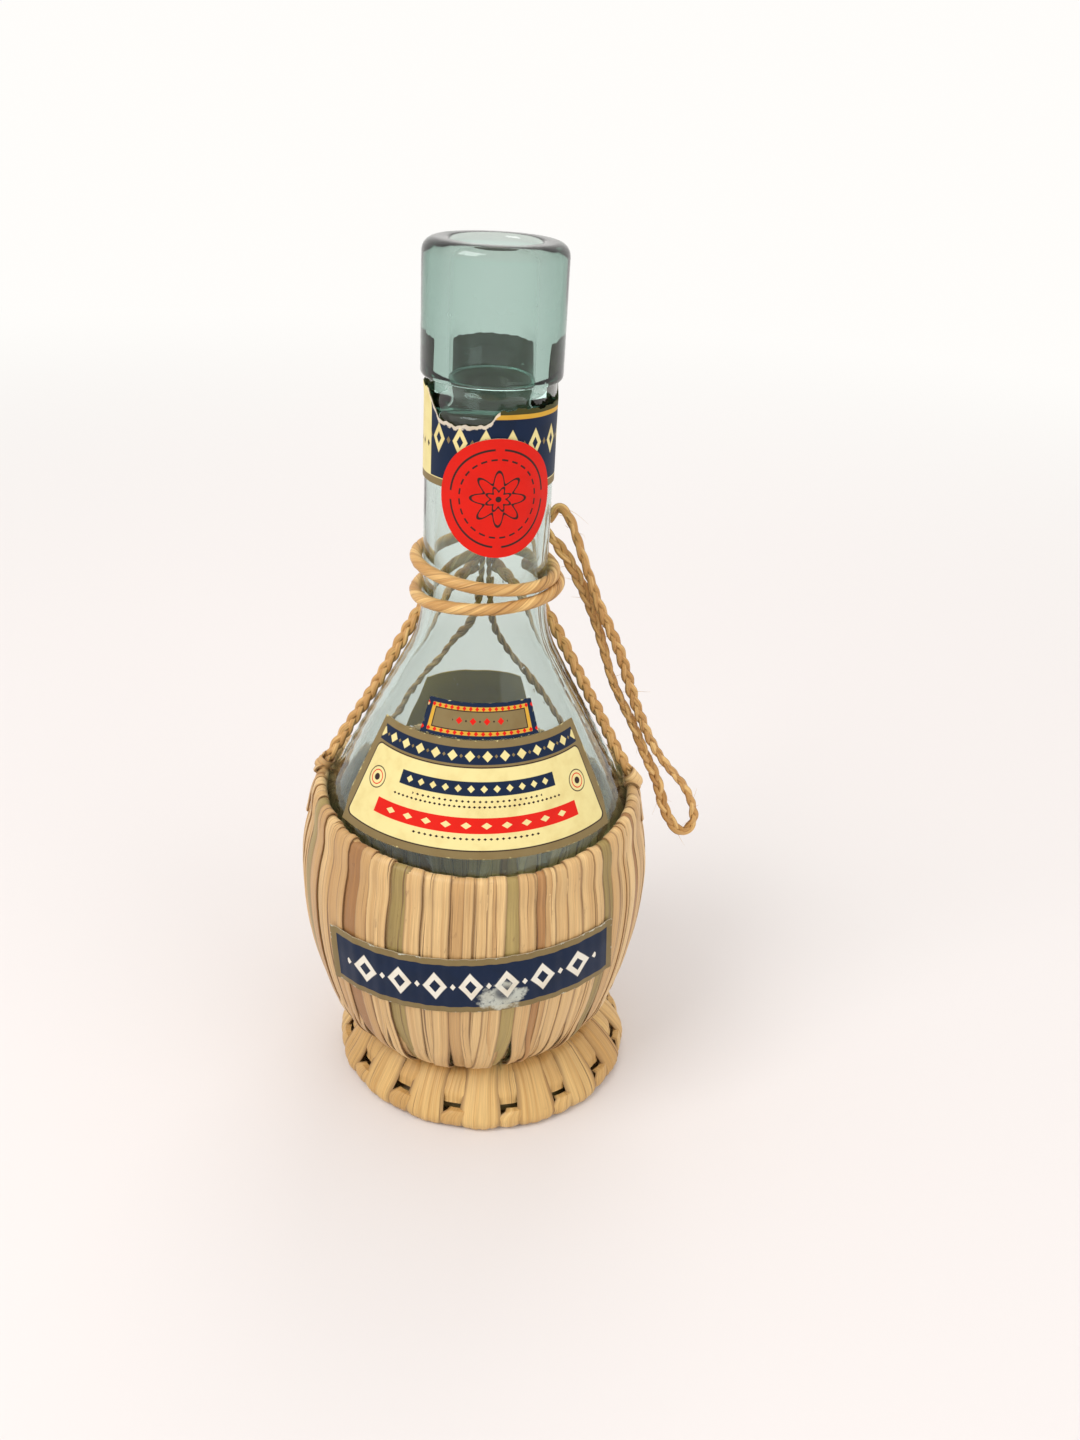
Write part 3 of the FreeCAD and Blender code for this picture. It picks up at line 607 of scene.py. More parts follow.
def straw_group():
    """Fibres, bands, splits and spots of dry straw along its grain, whose third value tells straws apart;
    near each straw's edge the colour is darkened towards the stain colour as painted shade.
    """
    if "Straw fibre" in bpy.data.node_groups:
        return bpy.data.node_groups["Straw fibre"]
    graph, enters, leaves = node_group(
        "Straw fibre",
        [("Grain", "Vector"), ("Edge", "Float"), ("Pale", "Color"), ("Deep", "Color"), ("Stain", "Color"),
         ("Spots", "Float")],
        [("Color", "Color"), ("Roughness", "Float"), ("Height", "Float")])
    grain, deep, stain_and_edge_shade = enters["Grain"], enters["Deep"], enters["Stain"]
    straw = graph.math("FLOOR", graph.apart(grain)[2])
    tone = graph.add("ShaderNodeTexWhiteNoise", {"W": straw}, noise_dimensions="1D").outputs["Value"]
    fine = graph.noise(graph.scaled(grain, (5600.0, 110.0, 31.0)), detail=3.0, roughness=0.6)
    bands = graph.noise(graph.scaled(grain, (1250.0, 15.0, 17.0)), detail=4.0, roughness=0.6)
    whole = graph.noise(graph.scaled(grain, (90.0, 26.0, 13.7)), detail=2.0)
    spots = graph.noise(graph.scaled(grain, (700.0, 230.0, 7.3)), detail=5.0, roughness=0.65)
    splits = graph.noise(graph.scaled(grain, (1900.0, 17.0, 5.1)), detail=1.0)
    split = graph.both(graph.step(splits, 0.31, 0.27), 0.8)
    spot = graph.both(graph.step(spots, 0.62, 0.74), enters["Spots"])
    base = graph.mix(graph.both(graph.math("POWER", tone, 1.3), 0.8), enters["Pale"], deep)
    base = graph.mix(graph.both(graph.step(bands, 0.42, 0.72), 0.75), base, deep)
    base = graph.mix(graph.span(whole, 0.45, 0.8, 0.0, 0.6), base, deep)
    light = graph.span(fine, 0.25, 0.8, 0.74, 1.14)
    grey = graph.add("ShaderNodeCombineColor", {0: light, 1: light, 2: light}).outputs[0]
    base = graph.multiply(1.0, base, grey)
    # The stain colour goes on real spots and splits; the third mask, near a straw's edge, is painted shade
    for dark in (graph.both(spot, 0.8), split, graph.both(graph.step(enters["Edge"], 0.7, 1.0), 0.6)):
        base = graph.mix(dark, base, stain_and_edge_shade)
    graph.feed(leaves["Color"], base)
    graph.feed(leaves["Roughness"], graph.span(fine, 0.2, 0.8, 0.38, 0.62))
    height = graph.plus(graph.both(fine, 0.45), graph.both(bands, 0.75))
    graph.feed(leaves["Height"], graph.minus(height, graph.both(split, 0.8)))
    return graph.tree


def new_material(name):
    made = bpy.data.materials.new(name)
    made.use_nodes = True
    return made, Graph(made.node_tree)


def material(name):
    """A new material, or the one of that name that is already made."""
    found = bpy.data.materials.get(name)
    return (found, None) if found else new_material(name)


def straw_finish(kind):
    """The material of a kind of straw, with more or fewer spots."""
    made, graph = material(kind.replace("_", " "))
    if graph is None:
        return made
    finish = bpy.context.scene.flask_finish
    inputs = {
        "Grain": graph.attribute("grain", "Vector"), "Edge": graph.attribute("edge", "Fac"),
        "Pale": getattr(finish, kind), "Deep": getattr(finish, kind + "_deep"), "Stain": finish.stain_and_edge_shade,
        "Spots": {"straw_foot": 0.35, "cord": 0.55, "straw_red": 0.8}.get(kind, 0.5),
    }
    fibre = graph.add("ShaderNodeGroup", inputs, node_tree=straw_group()).outputs
    graph.surface({
        "Base Color": fibre["Color"], "Roughness": fibre["Roughness"],
        "Normal": graph.bump(0.9, 0.00012, fibre["Height"]), "Specular IOR Level": 0.45, "Sheen Weight": 0.06,
    })
    return made


def glass_material():
    """Clear glass, greenish where it is thick; lamps reach what is behind it."""
    made, graph = new_material("blown glass")
    finish = bpy.context.scene.flask_finish
    where = graph.add("ShaderNodeTexCoord").outputs["Object"]
    waves = graph.noise(graph.scaled(where, (60.0, 60.0, 20.0)), detail=2.0, roughness=0.4)
    seeds = graph.noise(where, scale=420.0, detail=1.0)
    height = graph.plus(waves, graph.both(graph.step(seeds, 0.74, 0.8), 0.05))
    inputs = {
        "Base Color": finish.glass_skin, "Roughness": 0.012, "IOR": 1.5, "Transmission Weight": 1.0,
        "Normal": graph.bump(0.4, 0.0012, height),
    }
    shader = graph.add("ShaderNodeBsdfPrincipled", inputs)
    clear = graph.add("ShaderNodeBsdfTransparent", {"Color": finish.glass_shade})
    lamp_ray = graph.add("ShaderNodeLightPath").outputs["Is Shadow Ray"]
    shown = graph.add("ShaderNodeMixShader", {0: lamp_ray, 1: shader.outputs[0], 2: clear.outputs[0]})
    inside = graph.add("ShaderNodeVolumeAbsorption", {"Color": finish.glass, "Density": 100.0})
    graph.add("ShaderNodeOutputMaterial", {"Surface": shown.outputs[0], "Volume": inside.outputs[0]})
    return made


def lozenge_group():
    """A row of upright lozenges along x, as a mask."""
    if "Lozenge row" in bpy.data.node_groups:
        return bpy.data.node_groups["Lozenge row"]
    sizes = [(label, "Float") for label in ("Pitch", "Width", "Height", "Middle", "Start")]
    graph, enters, leaves = node_group("Lozenge row", [("Print", "Vector")] + sizes, [("Mask", "Float")])
    x, y, _ = graph.apart(enters["Print"])
    share = graph.ratio(graph.minus(x, enters["Start"]), enters["Pitch"])
    cell = graph.size(graph.minus(graph.math("FRACT", share), 0.5))
    across = graph.ratio(graph.both(cell, enters["Pitch"]), graph.both(enters["Width"], 0.5))
    up = graph.ratio(graph.size(graph.minus(y, enters["Middle"])), graph.both(enters["Height"], 0.5))
    graph.feed(leaves["Mask"], graph.step(graph.plus(across, up), 1.05, 0.95))
    return graph.tree


def wear_group():
    """Scuffs near the edges, stains and the fine tooth of old paper."""
    if "Paper wear" in bpy.data.node_groups:
        return bpy.data.node_groups["Paper wear"]
    graph, enters, leaves = node_group(
        "Paper wear", [("Print", "Vector"), ("Half Width", "Float"), ("Half Height", "Float")],
        [("Scuff", "Float"), ("Stain", "Float"), ("Height", "Float")])
    where = enters["Print"]
    x, y, _ = graph.apart(where)
    side = graph.minus(enters["Half Width"], graph.size(x))
    edge = graph.minus(enters["Half Height"], graph.size(y))
    near = graph.step(graph.math("MINIMUM", side, edge), 1.1, 0.0)
    coarse = graph.noise(where, scale=0.55, detail=5.0, roughness=0.65)
    fine = graph.noise(where, scale=5.5, detail=3.0)
    amount = graph.plus(graph.both(near, 0.30), coarse)
    graph.feed(leaves["Scuff"], graph.step(amount, 0.84, 0.93))
    graph.feed(leaves["Stain"], graph.step(graph.noise(where, scale=0.17, detail=4.0), 0.42, 0.75))
    graph.feed(leaves["Height"], graph.plus(graph.both(fine, 0.35), coarse))
    return graph.tree


class Print:
    """Draws a paper's generic ornament in millimetres from its middle."""
    soft = 0.06

    def __init__(self, name, ground):
        self.made, self.graph = new_material(name)
        self.where = self.graph.attribute("grain", "Vector")
        self.x, self.y, self.under = self.graph.apart(self.where)
        self.colour = ground

    def between(self, value, low, high):
        rise = self.graph.step(value, low - self.soft, low + self.soft)
        return self.graph.both(rise, self.graph.step(value, high + self.soft, high - self.soft))

    def box(self, left, right, low, high):
        return self.graph.both(self.between(self.x, left, right), self.between(self.y, low, high))

    def rounded(self, half_width, half_height, corner, middle=0.0):
        """A box with round corners, its middle that far up."""
        graph = self.graph
        across = graph.either(graph.minus(graph.size(self.x), half_width - corner), 0.0)
        up = graph.either(graph.minus(graph.size(graph.minus(self.y, middle)), half_height - corner), 0.0)
        return graph.step(graph.far(across, up), corner + self.soft, corner - self.soft)

    def radius(self, x=0.0, y=0.0):
        return self.graph.far(self.graph.minus(self.x, x), self.graph.minus(self.y, y))

    def row(self, pitch, width, height, middle, start=0.0):
        """A row of lozenges across the paper."""
        inputs = {
            "Print": self.where, "Pitch": pitch, "Width": width, "Height": height, "Middle": middle,
            "Start": start,
        }
        return self.graph.add("ShaderNodeGroup", inputs, node_tree=lozenge_group()).outputs["Mask"]

    def paint(self, ink, mask, within=None):
        if within is not None:
            mask = self.graph.both(within, mask)
        self.colour = self.graph.mix(mask, self.colour, ink)

    def done(self, half_width, half_height, roughness=0.5, bare=None, scuff=0.0):
        """Wear and the shader; scuff is one more worn place, where the bare paper shows."""
        graph, finish = self.graph, bpy.context.scene.flask_finish
        inputs = {"Print": self.where, "Half Width": half_width, "Half Height": half_height}
        wear = graph.add("ShaderNodeGroup", inputs, node_tree=wear_group()).outputs
        worn = graph.either(wear["Scuff"], scuff)
        shown = graph.mix(graph.both(worn, 0.8), self.colour, bare or finish.cream)
        shown = graph.multiply(graph.both(wear["Stain"], 0.35), shown, finish.paper_stain)
        rough = graph.span(worn, 0.0, 1.0, roughness, min(roughness + 0.3, 0.9))
        graph.surface({
            "Base Color": shown, "Roughness": rough, "Normal": graph.bump(0.35, 0.00008, wear["Height"]),
            "Specular IOR Level": 0.18,
        })
        return self.made


def paper_back(name="paper back", tone=None):
    """The back of a paper, or the old glue on it."""
    made, graph = material(name)
    if graph is None:
        return made
    finish = bpy.context.scene.flask_finish
    tone = tone or finish.paper_back
    tooth = graph.noise(graph.attribute("grain", "Vector"), scale=1.4, detail=4.0)
    shown = graph.multiply(graph.both(tooth, 0.8), tone, finish.paper_tooth)
    graph.surface({"Base Color": shown, "Roughness": 0.8, "Normal": graph.bump(0.3, 0.0001, tooth)})
    return made


def smooth_line(name, route):
    """Close points on the smooth NURBS line of a cord's route."""
    curve = bpy.data.curves.new(name, "CURVE")
    curve.dimensions = "3D"
    curve.resolution_u = 24
    spline = curve.splines.new("NURBS")
    spline.points.add(len(route) - 1)
    for point, place in zip(spline.points, route):
        point.co = (*place, 1.0)
    spline.order_u = 3
    spline.use_endpoint_u = True
    holder = bpy.data.objects.new(name, curve)
    bpy.context.scene.collection.objects.link(holder)
    bpy.context.view_layer.update()
    mesh = bpy.data.meshes.new_from_object(holder)
    points = [v.co.copy() for v in mesh.vertices]
    bpy.data.objects.remove(holder)
    bpy.data.curves.remove(curve)
    bpy.data.meshes.remove(mesh)
    return points


def even_points(points, step):
    """The same line with points about a step apart."""
    walk = [0.0]
    for p, q in zip(points, points[1:]):
        walk.append(walk[-1] + (q - p).length)
    steps = max(2, round(walk[-1] / step))
    even, k = [], 0
    for i in range(steps + 1):
        want = walk[-1] * i / steps
        while k < len(points) - 2 and walk[k + 1] < want:
            k += 1
        run = walk[k + 1] - walk[k]
        even.append(points[k].lerp(points[k + 1], (want - walk[k]) / run if run else 0.0))
    return even


def line_length(points):
    return sum((q - p).length for p, q in zip(points, points[1:]))


def ways_along(points):
    """The way on at each point of a line."""
    last = len(points) - 1
    return [(points[min(i + 1, last)] - points[max(i - 1, 0)]).normalized() for i in range(last + 1)]


def frames_along(points):
    """At each point, the way on and two directions across that turn as little as possible."""
    ways = ways_along(points)
    side = ways[0].orthogonal().normalized()
    found = []
    for way in ways:
        side = (side - way * side.dot(way)).normalized()
        found.append((way, side, way.cross(side)))
    return found


def tube_mesh(name, strands, sides=9):
    """One mesh of several strands of rings: a centre, the ways beside and outwards, and half widths."""
    points, faces, grain, edge = [], [], [], []
    for number, rings in enumerate(strands):
        first = len(points)
        along = 0.0
        last = rings[0][0]
        for centre, beside, out, wide, deep in rings:
            along += (centre - last).length
            last = centre
            for k in range(sides):
                turn = math.tau * k / sides
                points.append(centre + beside * (wide * math.cos(turn)) + out * (deep * math.sin(turn)))
                grain.append((wide * math.tau * abs(2 * k / sides - 1), along, number + 0.5))
                edge.append(abs(math.cos(turn)))
        for i in range(len(rings) - 1):
            row = first + i * sides
            for k in range(sides):
                k1 = (k + 1) % sides
                faces.append((row + k, row + k1, row + sides + k1, row + sides + k))
        faces.append(tuple(first + k for k in reversed(range(sides))))
        end = first + (len(rings) - 1) * sides
        faces.append(tuple(end + k for k in range(sides)))
    mesh = bpy.data.meshes.new(name)
    mesh.from_pydata(points, [], faces)
    keep_marks(mesh, grain, edge)
    piece = bpy.data.objects.new(name, mesh)
    bpy.context.scene.collection.objects.link(piece)
    activate(piece)
    bpy.ops.object.mode_set(mode="EDIT")
    bpy.ops.mesh.select_all(action="SELECT")
    bpy.ops.mesh.normals_make_consistent(inside=False)
    bpy.ops.object.mode_set(mode="OBJECT")
    bpy.ops.object.shade_smooth()
    return piece


def wound_ring(point, axes, turn, reach, slope, wide, deep):
    """A ring of a strand that winds round a line, going round by slope for each length on."""
    way, side, up = axes
    out = side * math.cos(turn) + up * math.sin(turn)
    lean = (way + (up * math.cos(turn) - side * math.sin(turn)) * slope).normalized()
    return point + out * reach, lean.cross(out), out, wide, deep


def plies_along(points, diameter, lay, seed):
    """Two strands twisted round a line, once in a lay length and a little unevenly."""
    draw = random.Random(seed)
    across = frames_along(points)
    step = line_length(points) / (len(points) - 1)
    reach, thick = 0.235 * diameter, 0.285 * diameter
    slope = math.tau * reach / lay
    phase = phases(draw, 4)
    plies = 2
    strands = []
    for ply in range(plies):
        rings = []
        for i, (point, axes) in enumerate(zip(points, across)):
            walked = i * step
            uneven = 0.35 * math.sin(walked / (2.3 * lay) + phase[0])
            uneven += 0.22 * math.sin(walked / (0.9 * lay) + phase[1])
            turn = math.tau * (walked / lay + ply / plies) + uneven
            swell = 1 + 0.10 * math.sin(walked / (0.7 * lay) + phase[2] + 2.1 * ply)
            swell += 0.06 * math.sin(walked / (0.23 * lay) + phase[3] + 1.3 * ply)
            half = thick * swell
            rings.append(wound_ring(point, axes, turn, reach, slope, half * 1.08, half))
        strands.append(rings)
    return strands


def twist_along(points, diameter, lay, seed):
    """Five uneven straws twisted round a line, so that their edges show as slanting grooves."""
    draw = random.Random(seed)
    step = line_length(points) / (len(points) - 1)
    across = frames_along(points)
    straws = 5
    reach = 0.26 * diameter
    slope = -math.tau * reach / lay
    phase = phases(draw, 2)
    strands = []
    for straw in range(straws):
        wide = 0.31 * diameter * draw.uniform(0.85, 1.18)
        deep = 0.235 * diameter * draw.uniform(0.92, 1.1)
        beside, own = draw.uniform(-0.2, 0.2), draw.uniform(0, NEARLY_ROUND)
        rings = []
        for i, (point, axes) in enumerate(zip(points, across)):
            walked = i * step
            turn = math.tau * (straw / straws - walked / lay) + beside
            turn += 0.3 * math.sin(walked / (1.3 * lay) + phase[0])
            turn += 0.12 * math.sin(walked / (0.5 * lay) + own)
            swell = 1 + 0.06 * math.sin(walked / (0.4 * lay) + own)
            swell += 0.05 * math.sin(walked / (1.1 * lay) + phase[1])
            rings.append(wound_ring(point, axes, turn, reach, slope, wide * swell, deep * swell))
        strands.append(rings)
    return strands


def braid_along(points, diameter, lay, facing, seed, slack):
    """Three flat strands plaited along a line and drawn in at its end; facing is the way its face looks."""
    draw = random.Random(seed)
    whole = line_length(points)
    step = whole / (len(points) - 1)
    wide, deep = 0.25 * diameter, 0.15 * diameter
    half_wide, half_deep = 0.27 * diameter, 0.19 * diameter
    phase = phases(draw, 4)
    drawn = [1 - 0.22 * ease((i * step - whole + 0.006) / 0.004) for i in range(len(points))]
    lines, faces = [[], [], []], []
    for i, (point, way) in enumerate(zip(points, ways_along(points))):
        out = facing(point)
        out = (out - way * out.dot(way)).normalized()
        side = way.cross(out)
        faces.append(out)
        walked = i * step
        turn = math.tau * walked / lay + 0.5 * math.sin(walked / (1.7 * lay) + phase[0])
        loose = drawn[i] * (1 + slack * math.sin(walked / (0.9 * lay) + phase[1]))
        for strand, line in enumerate(lines):
            own = turn + math.tau * strand / 3
            line.append(point + side * (wide * loose * math.sin(own)) + out * (deep * math.sin(2 * own)))
    strands = []
    for strand, line in enumerate(lines):
        rings = []
        for i, (centre, way, out) in enumerate(zip(line, ways_along(line), faces)):
            up = (out - way * out.dot(way)).normalized()
            swell = 1 + 0.13 * math.sin(i * step / (0.31 * lay) + phase[2] + 2 * strand)
            swell += 0.06 * math.sin(i * step / (0.12 * lay) + phase[3] + strand)
            swell *= drawn[i]
            rings.append((centre, way.cross(up), up, half_wide * swell, half_deep * swell))
        strands.append(rings)
    return strands


def hair_rings(start, way, reach, bend, radius):
    """A loose fibre that curves away and thins out."""
    rings, steps = [], 6
    side = way.orthogonal().normalized()
    up = way.cross(side)
    for i in range(steps + 1):
        t = i / steps
        centre = start + way * (reach * t) + bend * (reach * t * t)
        half = radius * (1 - 0.75 * t)
        rings.append((centre, side, up, half, half))
    return rings


def make_cord(name, route, strands_along, *shape, sides=9):
    """A cord's mesh of strands along the smooth line of its route, and that line."""
    points = even_points(smooth_line(name, route), CORD_STEP)
    return tube_mesh(name, strands_along(points, *shape), sides), points


def wrap_route(outline, cords):
    """Points of the winding on the neck: two turns, apart on the left and together on the right."""
    whole = cords.wrap_end - cords.wrap_start
    steps = round(whole / math.radians(15))
    base = outline.neck_base + cords.wrap_rise
    snug = outline.shape.neck_radius + cords.wrap_diameter / 2 + cords.wrap_gap
    lowest = math.radians(20)
    route = []
    for i in range(steps + 1):
        turn = cords.wrap_start + whole * i / steps
        under = ease((turn - cords.cross_start) / (cords.cross_end - cords.cross_start))
        tail = 1 - ease((turn - cords.wrap_start) / cords.tail_turn)
        spread = cords.wrap_spread - cords.wrap_side * math.sin(turn)
        slack = cords.wrap_slack * under * (1 + math.sin(turn)) / 2
        dip = cords.wrap_dip * (1 - under) * (1 + math.cos(turn - lowest)) / 2
        dip += cords.wrap_sag * under * max(0.0, -math.sin(turn)) ** 2
        height = base + spread * (1 - 2 * under) + cords.tail_rise * tail - dip
        route.append(around(snug + slack + cords.tail_out * tail, turn, height))
    first, last = (route[0] - route[1]).normalized(), (route[-1] - route[-2]).normalized()
    return [route[0] + first * cords.wrap_diameter] + route + [route[-1] + last * cords.wrap_diameter]


def hanging_loop():
    """The doubled cord to hang the flask by, plaited loosely, with loose fibres."""
    diameter = bpy.context.scene.flask_cords.loop_diameter
    front = Vector((0.25, -0.95, 0.2))
    piece, points = make_cord(
        "hanging_cord", HANGING_LOOP, braid_along, diameter, 5.0 * diameter, lambda p: front, 11, 0.3,
        sides=10)
    draw = random.Random(5)
    across = frames_along(points)
    hairs, hair_count, bare_ends = [], 46, 20
    for _ in range(hair_count):
        i = draw.randrange(bare_ends, len(points) - bare_ends)
        way, side, up = across[i]
        turn = draw.uniform(0, NEARLY_ROUND)
        out = side * math.cos(turn) + up * math.sin(turn)
        leave = (out * draw.uniform(0.3, 1.0) + way * draw.uniform(-1.0, 1.0)).normalized()
        bend = Vector((draw.uniform(-0.5, 0.5), draw.uniform(-0.5, 0.5), draw.uniform(-0.7, 0.2)))
        start = points[i] + out * (0.42 * diameter)
        hairs.append(hair_rings(start, leave, draw.uniform(1.2, 4.0) * MM, bend, 0.055 * MM))
    fibres = tube_mesh("hanging_cord_fibres", hairs, 5)
    finish_piece(piece, straw_finish("cord"), ["hanging_loop"], LOOP)
    finish_piece(fibres, straw_finish("cord"), [], LOOP)
    line_length(points)


def neck_winding():
    """The cord wound twice round the neck."""
    shape, cords = settings("shape", "cords")
    diameter = cords.wrap_diameter
    route = wrap_route(Outline(shape), cords)
    piece, points = make_cord(
        "neck_cord", route, twist_along, 1.06 * diameter, 5.5 * diameter, 23, sides=10)
    finish_piece(piece, straw_finish("cord"), ["neck_wrap"])
    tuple(route[0])
    line_length(points)


def straps():
    """The two plaited straps from behind the neck to the basket's rim, and the two thin ones behind."""
    cords = bpy.context.scene.flask_cords

    def outwards(point):
        return Vector((point.x, point.y, 0.0)).normalized() * 0.5 + Vector((0.0, -0.85, 0.15))

    made = []
    for name, route, seed in (("left_strap", LEFT_STRAP, 31), ("right_strap", RIGHT_STRAP, 37)):
        diameter = cords.strap_diameter
        cord = make_cord(
            name + "_cord", route, braid_along, 0.92 * diameter, 3.3 * diameter, outwards, seed, 0.12,
            sides=10)
        made.append((name, route, diameter, cord))
    for name, route, seed in (("left_back", LEFT_BACK_STRAP, 53), ("right_back", RIGHT_BACK_STRAP, 59)):
        diameter = cords.back_diameter
        cord = make_cord(name + "_cord", route, plies_along, diameter, 3.4 * diameter, seed)
        made.append((name + "_strap", route, diameter, cord))
    for node, route, diameter, (piece, points) in made:
        finish_piece(piece, straw_finish("cord"), [node])
        line_length(points)
    strap_hitches()


def strap_hitches():
    """Short ends that tie the four straps to the winding behind the neck."""
    strands = []
    for beside, start, reach, thick, seed in (
        (-0.0026, 0.1288, 0.0184, 0.0022, 61), (0.0026, 0.1288, 0.0184, 0.0022, 67),
        (-0.0010, 0.1262, 0.0186, 0.0017, 71), (0.0010, 0.1262, 0.0186, 0.0017, 73),
    ):
        route = [
            (beside * 1.1, 0.0169, start), (beside, 0.0178, 0.1304), (beside * 0.9, reach, 0.1328),
            (beside * 0.8, reach - 0.0003, 0.1350), (beside * 0.7, 0.0170, 0.1366),
            (beside * 0.6, 0.0157, 0.1356),
        ]
        points = even_points(smooth_line("hitch", route), KNOT_STEP)
        strands += plies_along(points, thick, 2.8 * thick, seed)
    piece = tube_mesh("strap_hitches", strands)
    finish_piece(piece, straw_finish("cord"), [])


def knot():
    """The knot behind the neck: close turns of cord round the winding's end."""
    shape, cords = settings("shape", "cords")
    start, second = wrap_route(Outline(shape), cords)[:2]
    way = (start - second).normalized()
    side = way.orthogonal().normalized()
    up = way.cross(side)
    thick, core = 0.0017, 0.0024
    turns, steps, core_steps = 2.4, 60, 12
    reach = cords.knot_radius - thick * 0.55
    points = []
    for i in range(steps + 1):
        share = i / steps
        turn = math.tau * turns * share
        wobble = 1 + 0.10 * math.sin(3.1 * turn)
        along = thick * 0.5 + (cords.knot_length - thick) * share
        points.append(start + way * along + (side * math.cos(turn) + up * math.sin(turn)) * reach * wobble)
    middle = [start + way * (cords.knot_length * i / core_steps) for i in range(core_steps + 1)]
    strands = plies_along(even_points(points, KNOT_STEP), thick, 3 * thick, 41)
    strands += plies_along(even_points(middle, KNOT_STEP), core, 0.007, 43)
    piece = tube_mesh("knot_turns", strands)
    finish_piece(piece, straw_finish("cord"), ["hang_knot"])


def tie_lashing(node, number, end, side):
    """A flat straw wound round a strap's end."""
    cords = bpy.context.scene.flask_cords
    way = around(math.sin(cords.tie_slope), side, -math.cos(cords.tie_slope))
    across = way.orthogonal().normalized()
    up = way.cross(across)
    start = Vector(end) - way * 0.0032
    width, turns, margin = 0.0017, 2.8, 0.0007

    def lash(s, t):
        turn = math.tau * turns * t + 0.4 + number
        reach = 0.0015 + 0.00022 * math.sin(math.pi * s) + 0.00025 * t
        along = margin + (cords.tie_length - 2 * margin) * t + (s - 0.5) * width
        return start + way * along + (across * math.cos(turn) + up * math.sin(turn)) * reach

    sheet = laid_sheet(node + "_lashing", 4, 72, lash, lambda s, t: (s * width, 0.04 * t, 3.5 + number))
    thicken(sheet, FLAT_STRAW)
    return sheet


def tie_band(node, number, side, k, beside, lean, band_width):
    """A flat straw from the outside of the basket up over its rim."""
    shape, straw = settings("shape", "straw")
    outline = Outline(shape)
    offset = straw.gap + straw.fold_radius
    turn_at_rim = outline.turn_at(outline.rim_height(straw, side) - straw.fold_radius, offset)
    centre = outline.at_turn(turn_at_rim, offset)
    reach = straw.fold_radius + 0.0009 + 0.0003 * k
    up_steps, fold_steps = 12, 10
    path = []
    for i in range(up_steps + 1):
        below = math.radians((9.5 + 2 * k) * (1 - i / up_steps))
        lift = 0.0007 * ease(i / 9) + 0.0002 * k
        path.append(outline.at_turn(turn_at_rim - below, straw.gap + straw.layer + lift))
    for i in range(1, fold_steps + 1):
        bend = turn_at_rim + math.radians(-10 + 145 * i / fold_steps)
        path.append((centre[0] + reach * math.cos(bend), centre[1] + reach * math.sin(bend)))
    last = len(path) - 1

    def band(s, t):
        r, z = path[round(t * last)]
        crown = 0.0003 * (1 - (2 * s - 1) ** 2)
        turn = math.radians(beside + lean * (t - 0.6) + (s - 0.5) * band_width)
        return around(r + crown, side + turn, z)

    seed = 7.5 + number + 2 * k
    sheet = laid_sheet(node + "_band", 5, last, band, lambda s, t: (s * 0.004, 0.02 * t, seed))
    thicken(sheet, FLAT_STRAW)
    return sheet


def rim_ties():
    """Flat straws lashed round the straps' ends and over the rim."""
    cords = bpy.context.scene.flask_cords
    ties = ((cords.tie_left, "left_rim_tie", LEFT_STRAP), (cords.tie_right, "right_rim_tie", RIGHT_STRAP))
    for number, (side, node, strap) in enumerate(ties):
        sheets = [tie_lashing(node, number, strap[-1], side)]
        for k, (beside, lean, width) in enumerate(((-2.6, 5.0, 4.6), (2.4, -7.0, 4.0))):
            sheets.append(tie_band(node, number, side, k, beside, lean, width))
        piece = joined(node + "_straws", sheets)
        finish_piece(piece, straw_finish("straw_pale"), [node])


def glass():
    """The blown flask, inside and outside."""
    piece = spun("glass_body", flask_profile(Outline(bpy.context.scene.flask_shape)), 144)
    finish_piece(piece, glass_material(), ["glass_flask"])


def strip_spans(straw, shape):
    """Middle and width of each strip, uneven as split straw is; the same formula as in the part's source."""
    slit = straw.strip_slit / (shape.bulb_radius + straw.gap + straw.layer)
    waves = [0.7 * math.sin(2.4 * i) + 0.3 * math.sin(5.1 * i + 1) for i in range(straw.strip_count)]
    shares = [1 + straw.strip_variation * wave for wave in waves]
    spans, start = [], 0.0
    for share in shares:
        width = math.tau * share / sum(shares)
        spans.append((start + width / 2, width - slit))
        start += width
    return spans


def outward(path, i):
    """The direction across a section's line at one of its points, to the right of the way on."""
    r0, z0 = path[max(i - 1, 0)]
    r1, z1 = path[min(i + 1, len(path) - 1)]
    run = math.hypot(r1 - r0, z1 - z0)
    return (z1 - z0) / run, (r0 - r1) / run


def strip_path(outline, straw, rim, base):
    """Section line of a strip from under the flask, up the belly and folded in over the rim."""
    fold = straw.fold_radius
    offset = straw.gap + fold - 0.0001
    over = base - straw.gap - straw.strip_thickness / 2
    turn_top = outline.turn_at(rim - fold, offset)
    centre = outline.at_turn(turn_top, offset)
    start, near_rim = math.radians(-90), math.radians(10)
    inmost, floor_steps, up_steps, fold_steps = 0.0065, 5, 46, 9
    path = []
    for i in range(floor_steps):
        radius = inmost + (outline.corner[0] - inmost) * i / floor_steps
        path.append((radius, outline.shape.bottom_height - base))
    for i in range(up_steps):
        turn = start + (turn_top - start) * (i / up_steps)
        lift = ease((turn - turn_top + near_rim) / near_rim)
        path.append(outline.at_turn(turn, base + (offset + fold + over - base) * lift))
    for i in range(fold_steps + 1):
        bend = math.radians(195 * i / fold_steps)
        own = fold + over * (1 - ease((bend - math.radians(60)) / math.radians(80)))
        turn = turn_top + bend
        path.append((centre[0] + own * math.cos(turn), centre[1] + own * math.sin(turn)))
    path.append(outline.at_turn(turn_top - math.radians(2.0), 0.00025))
    return path


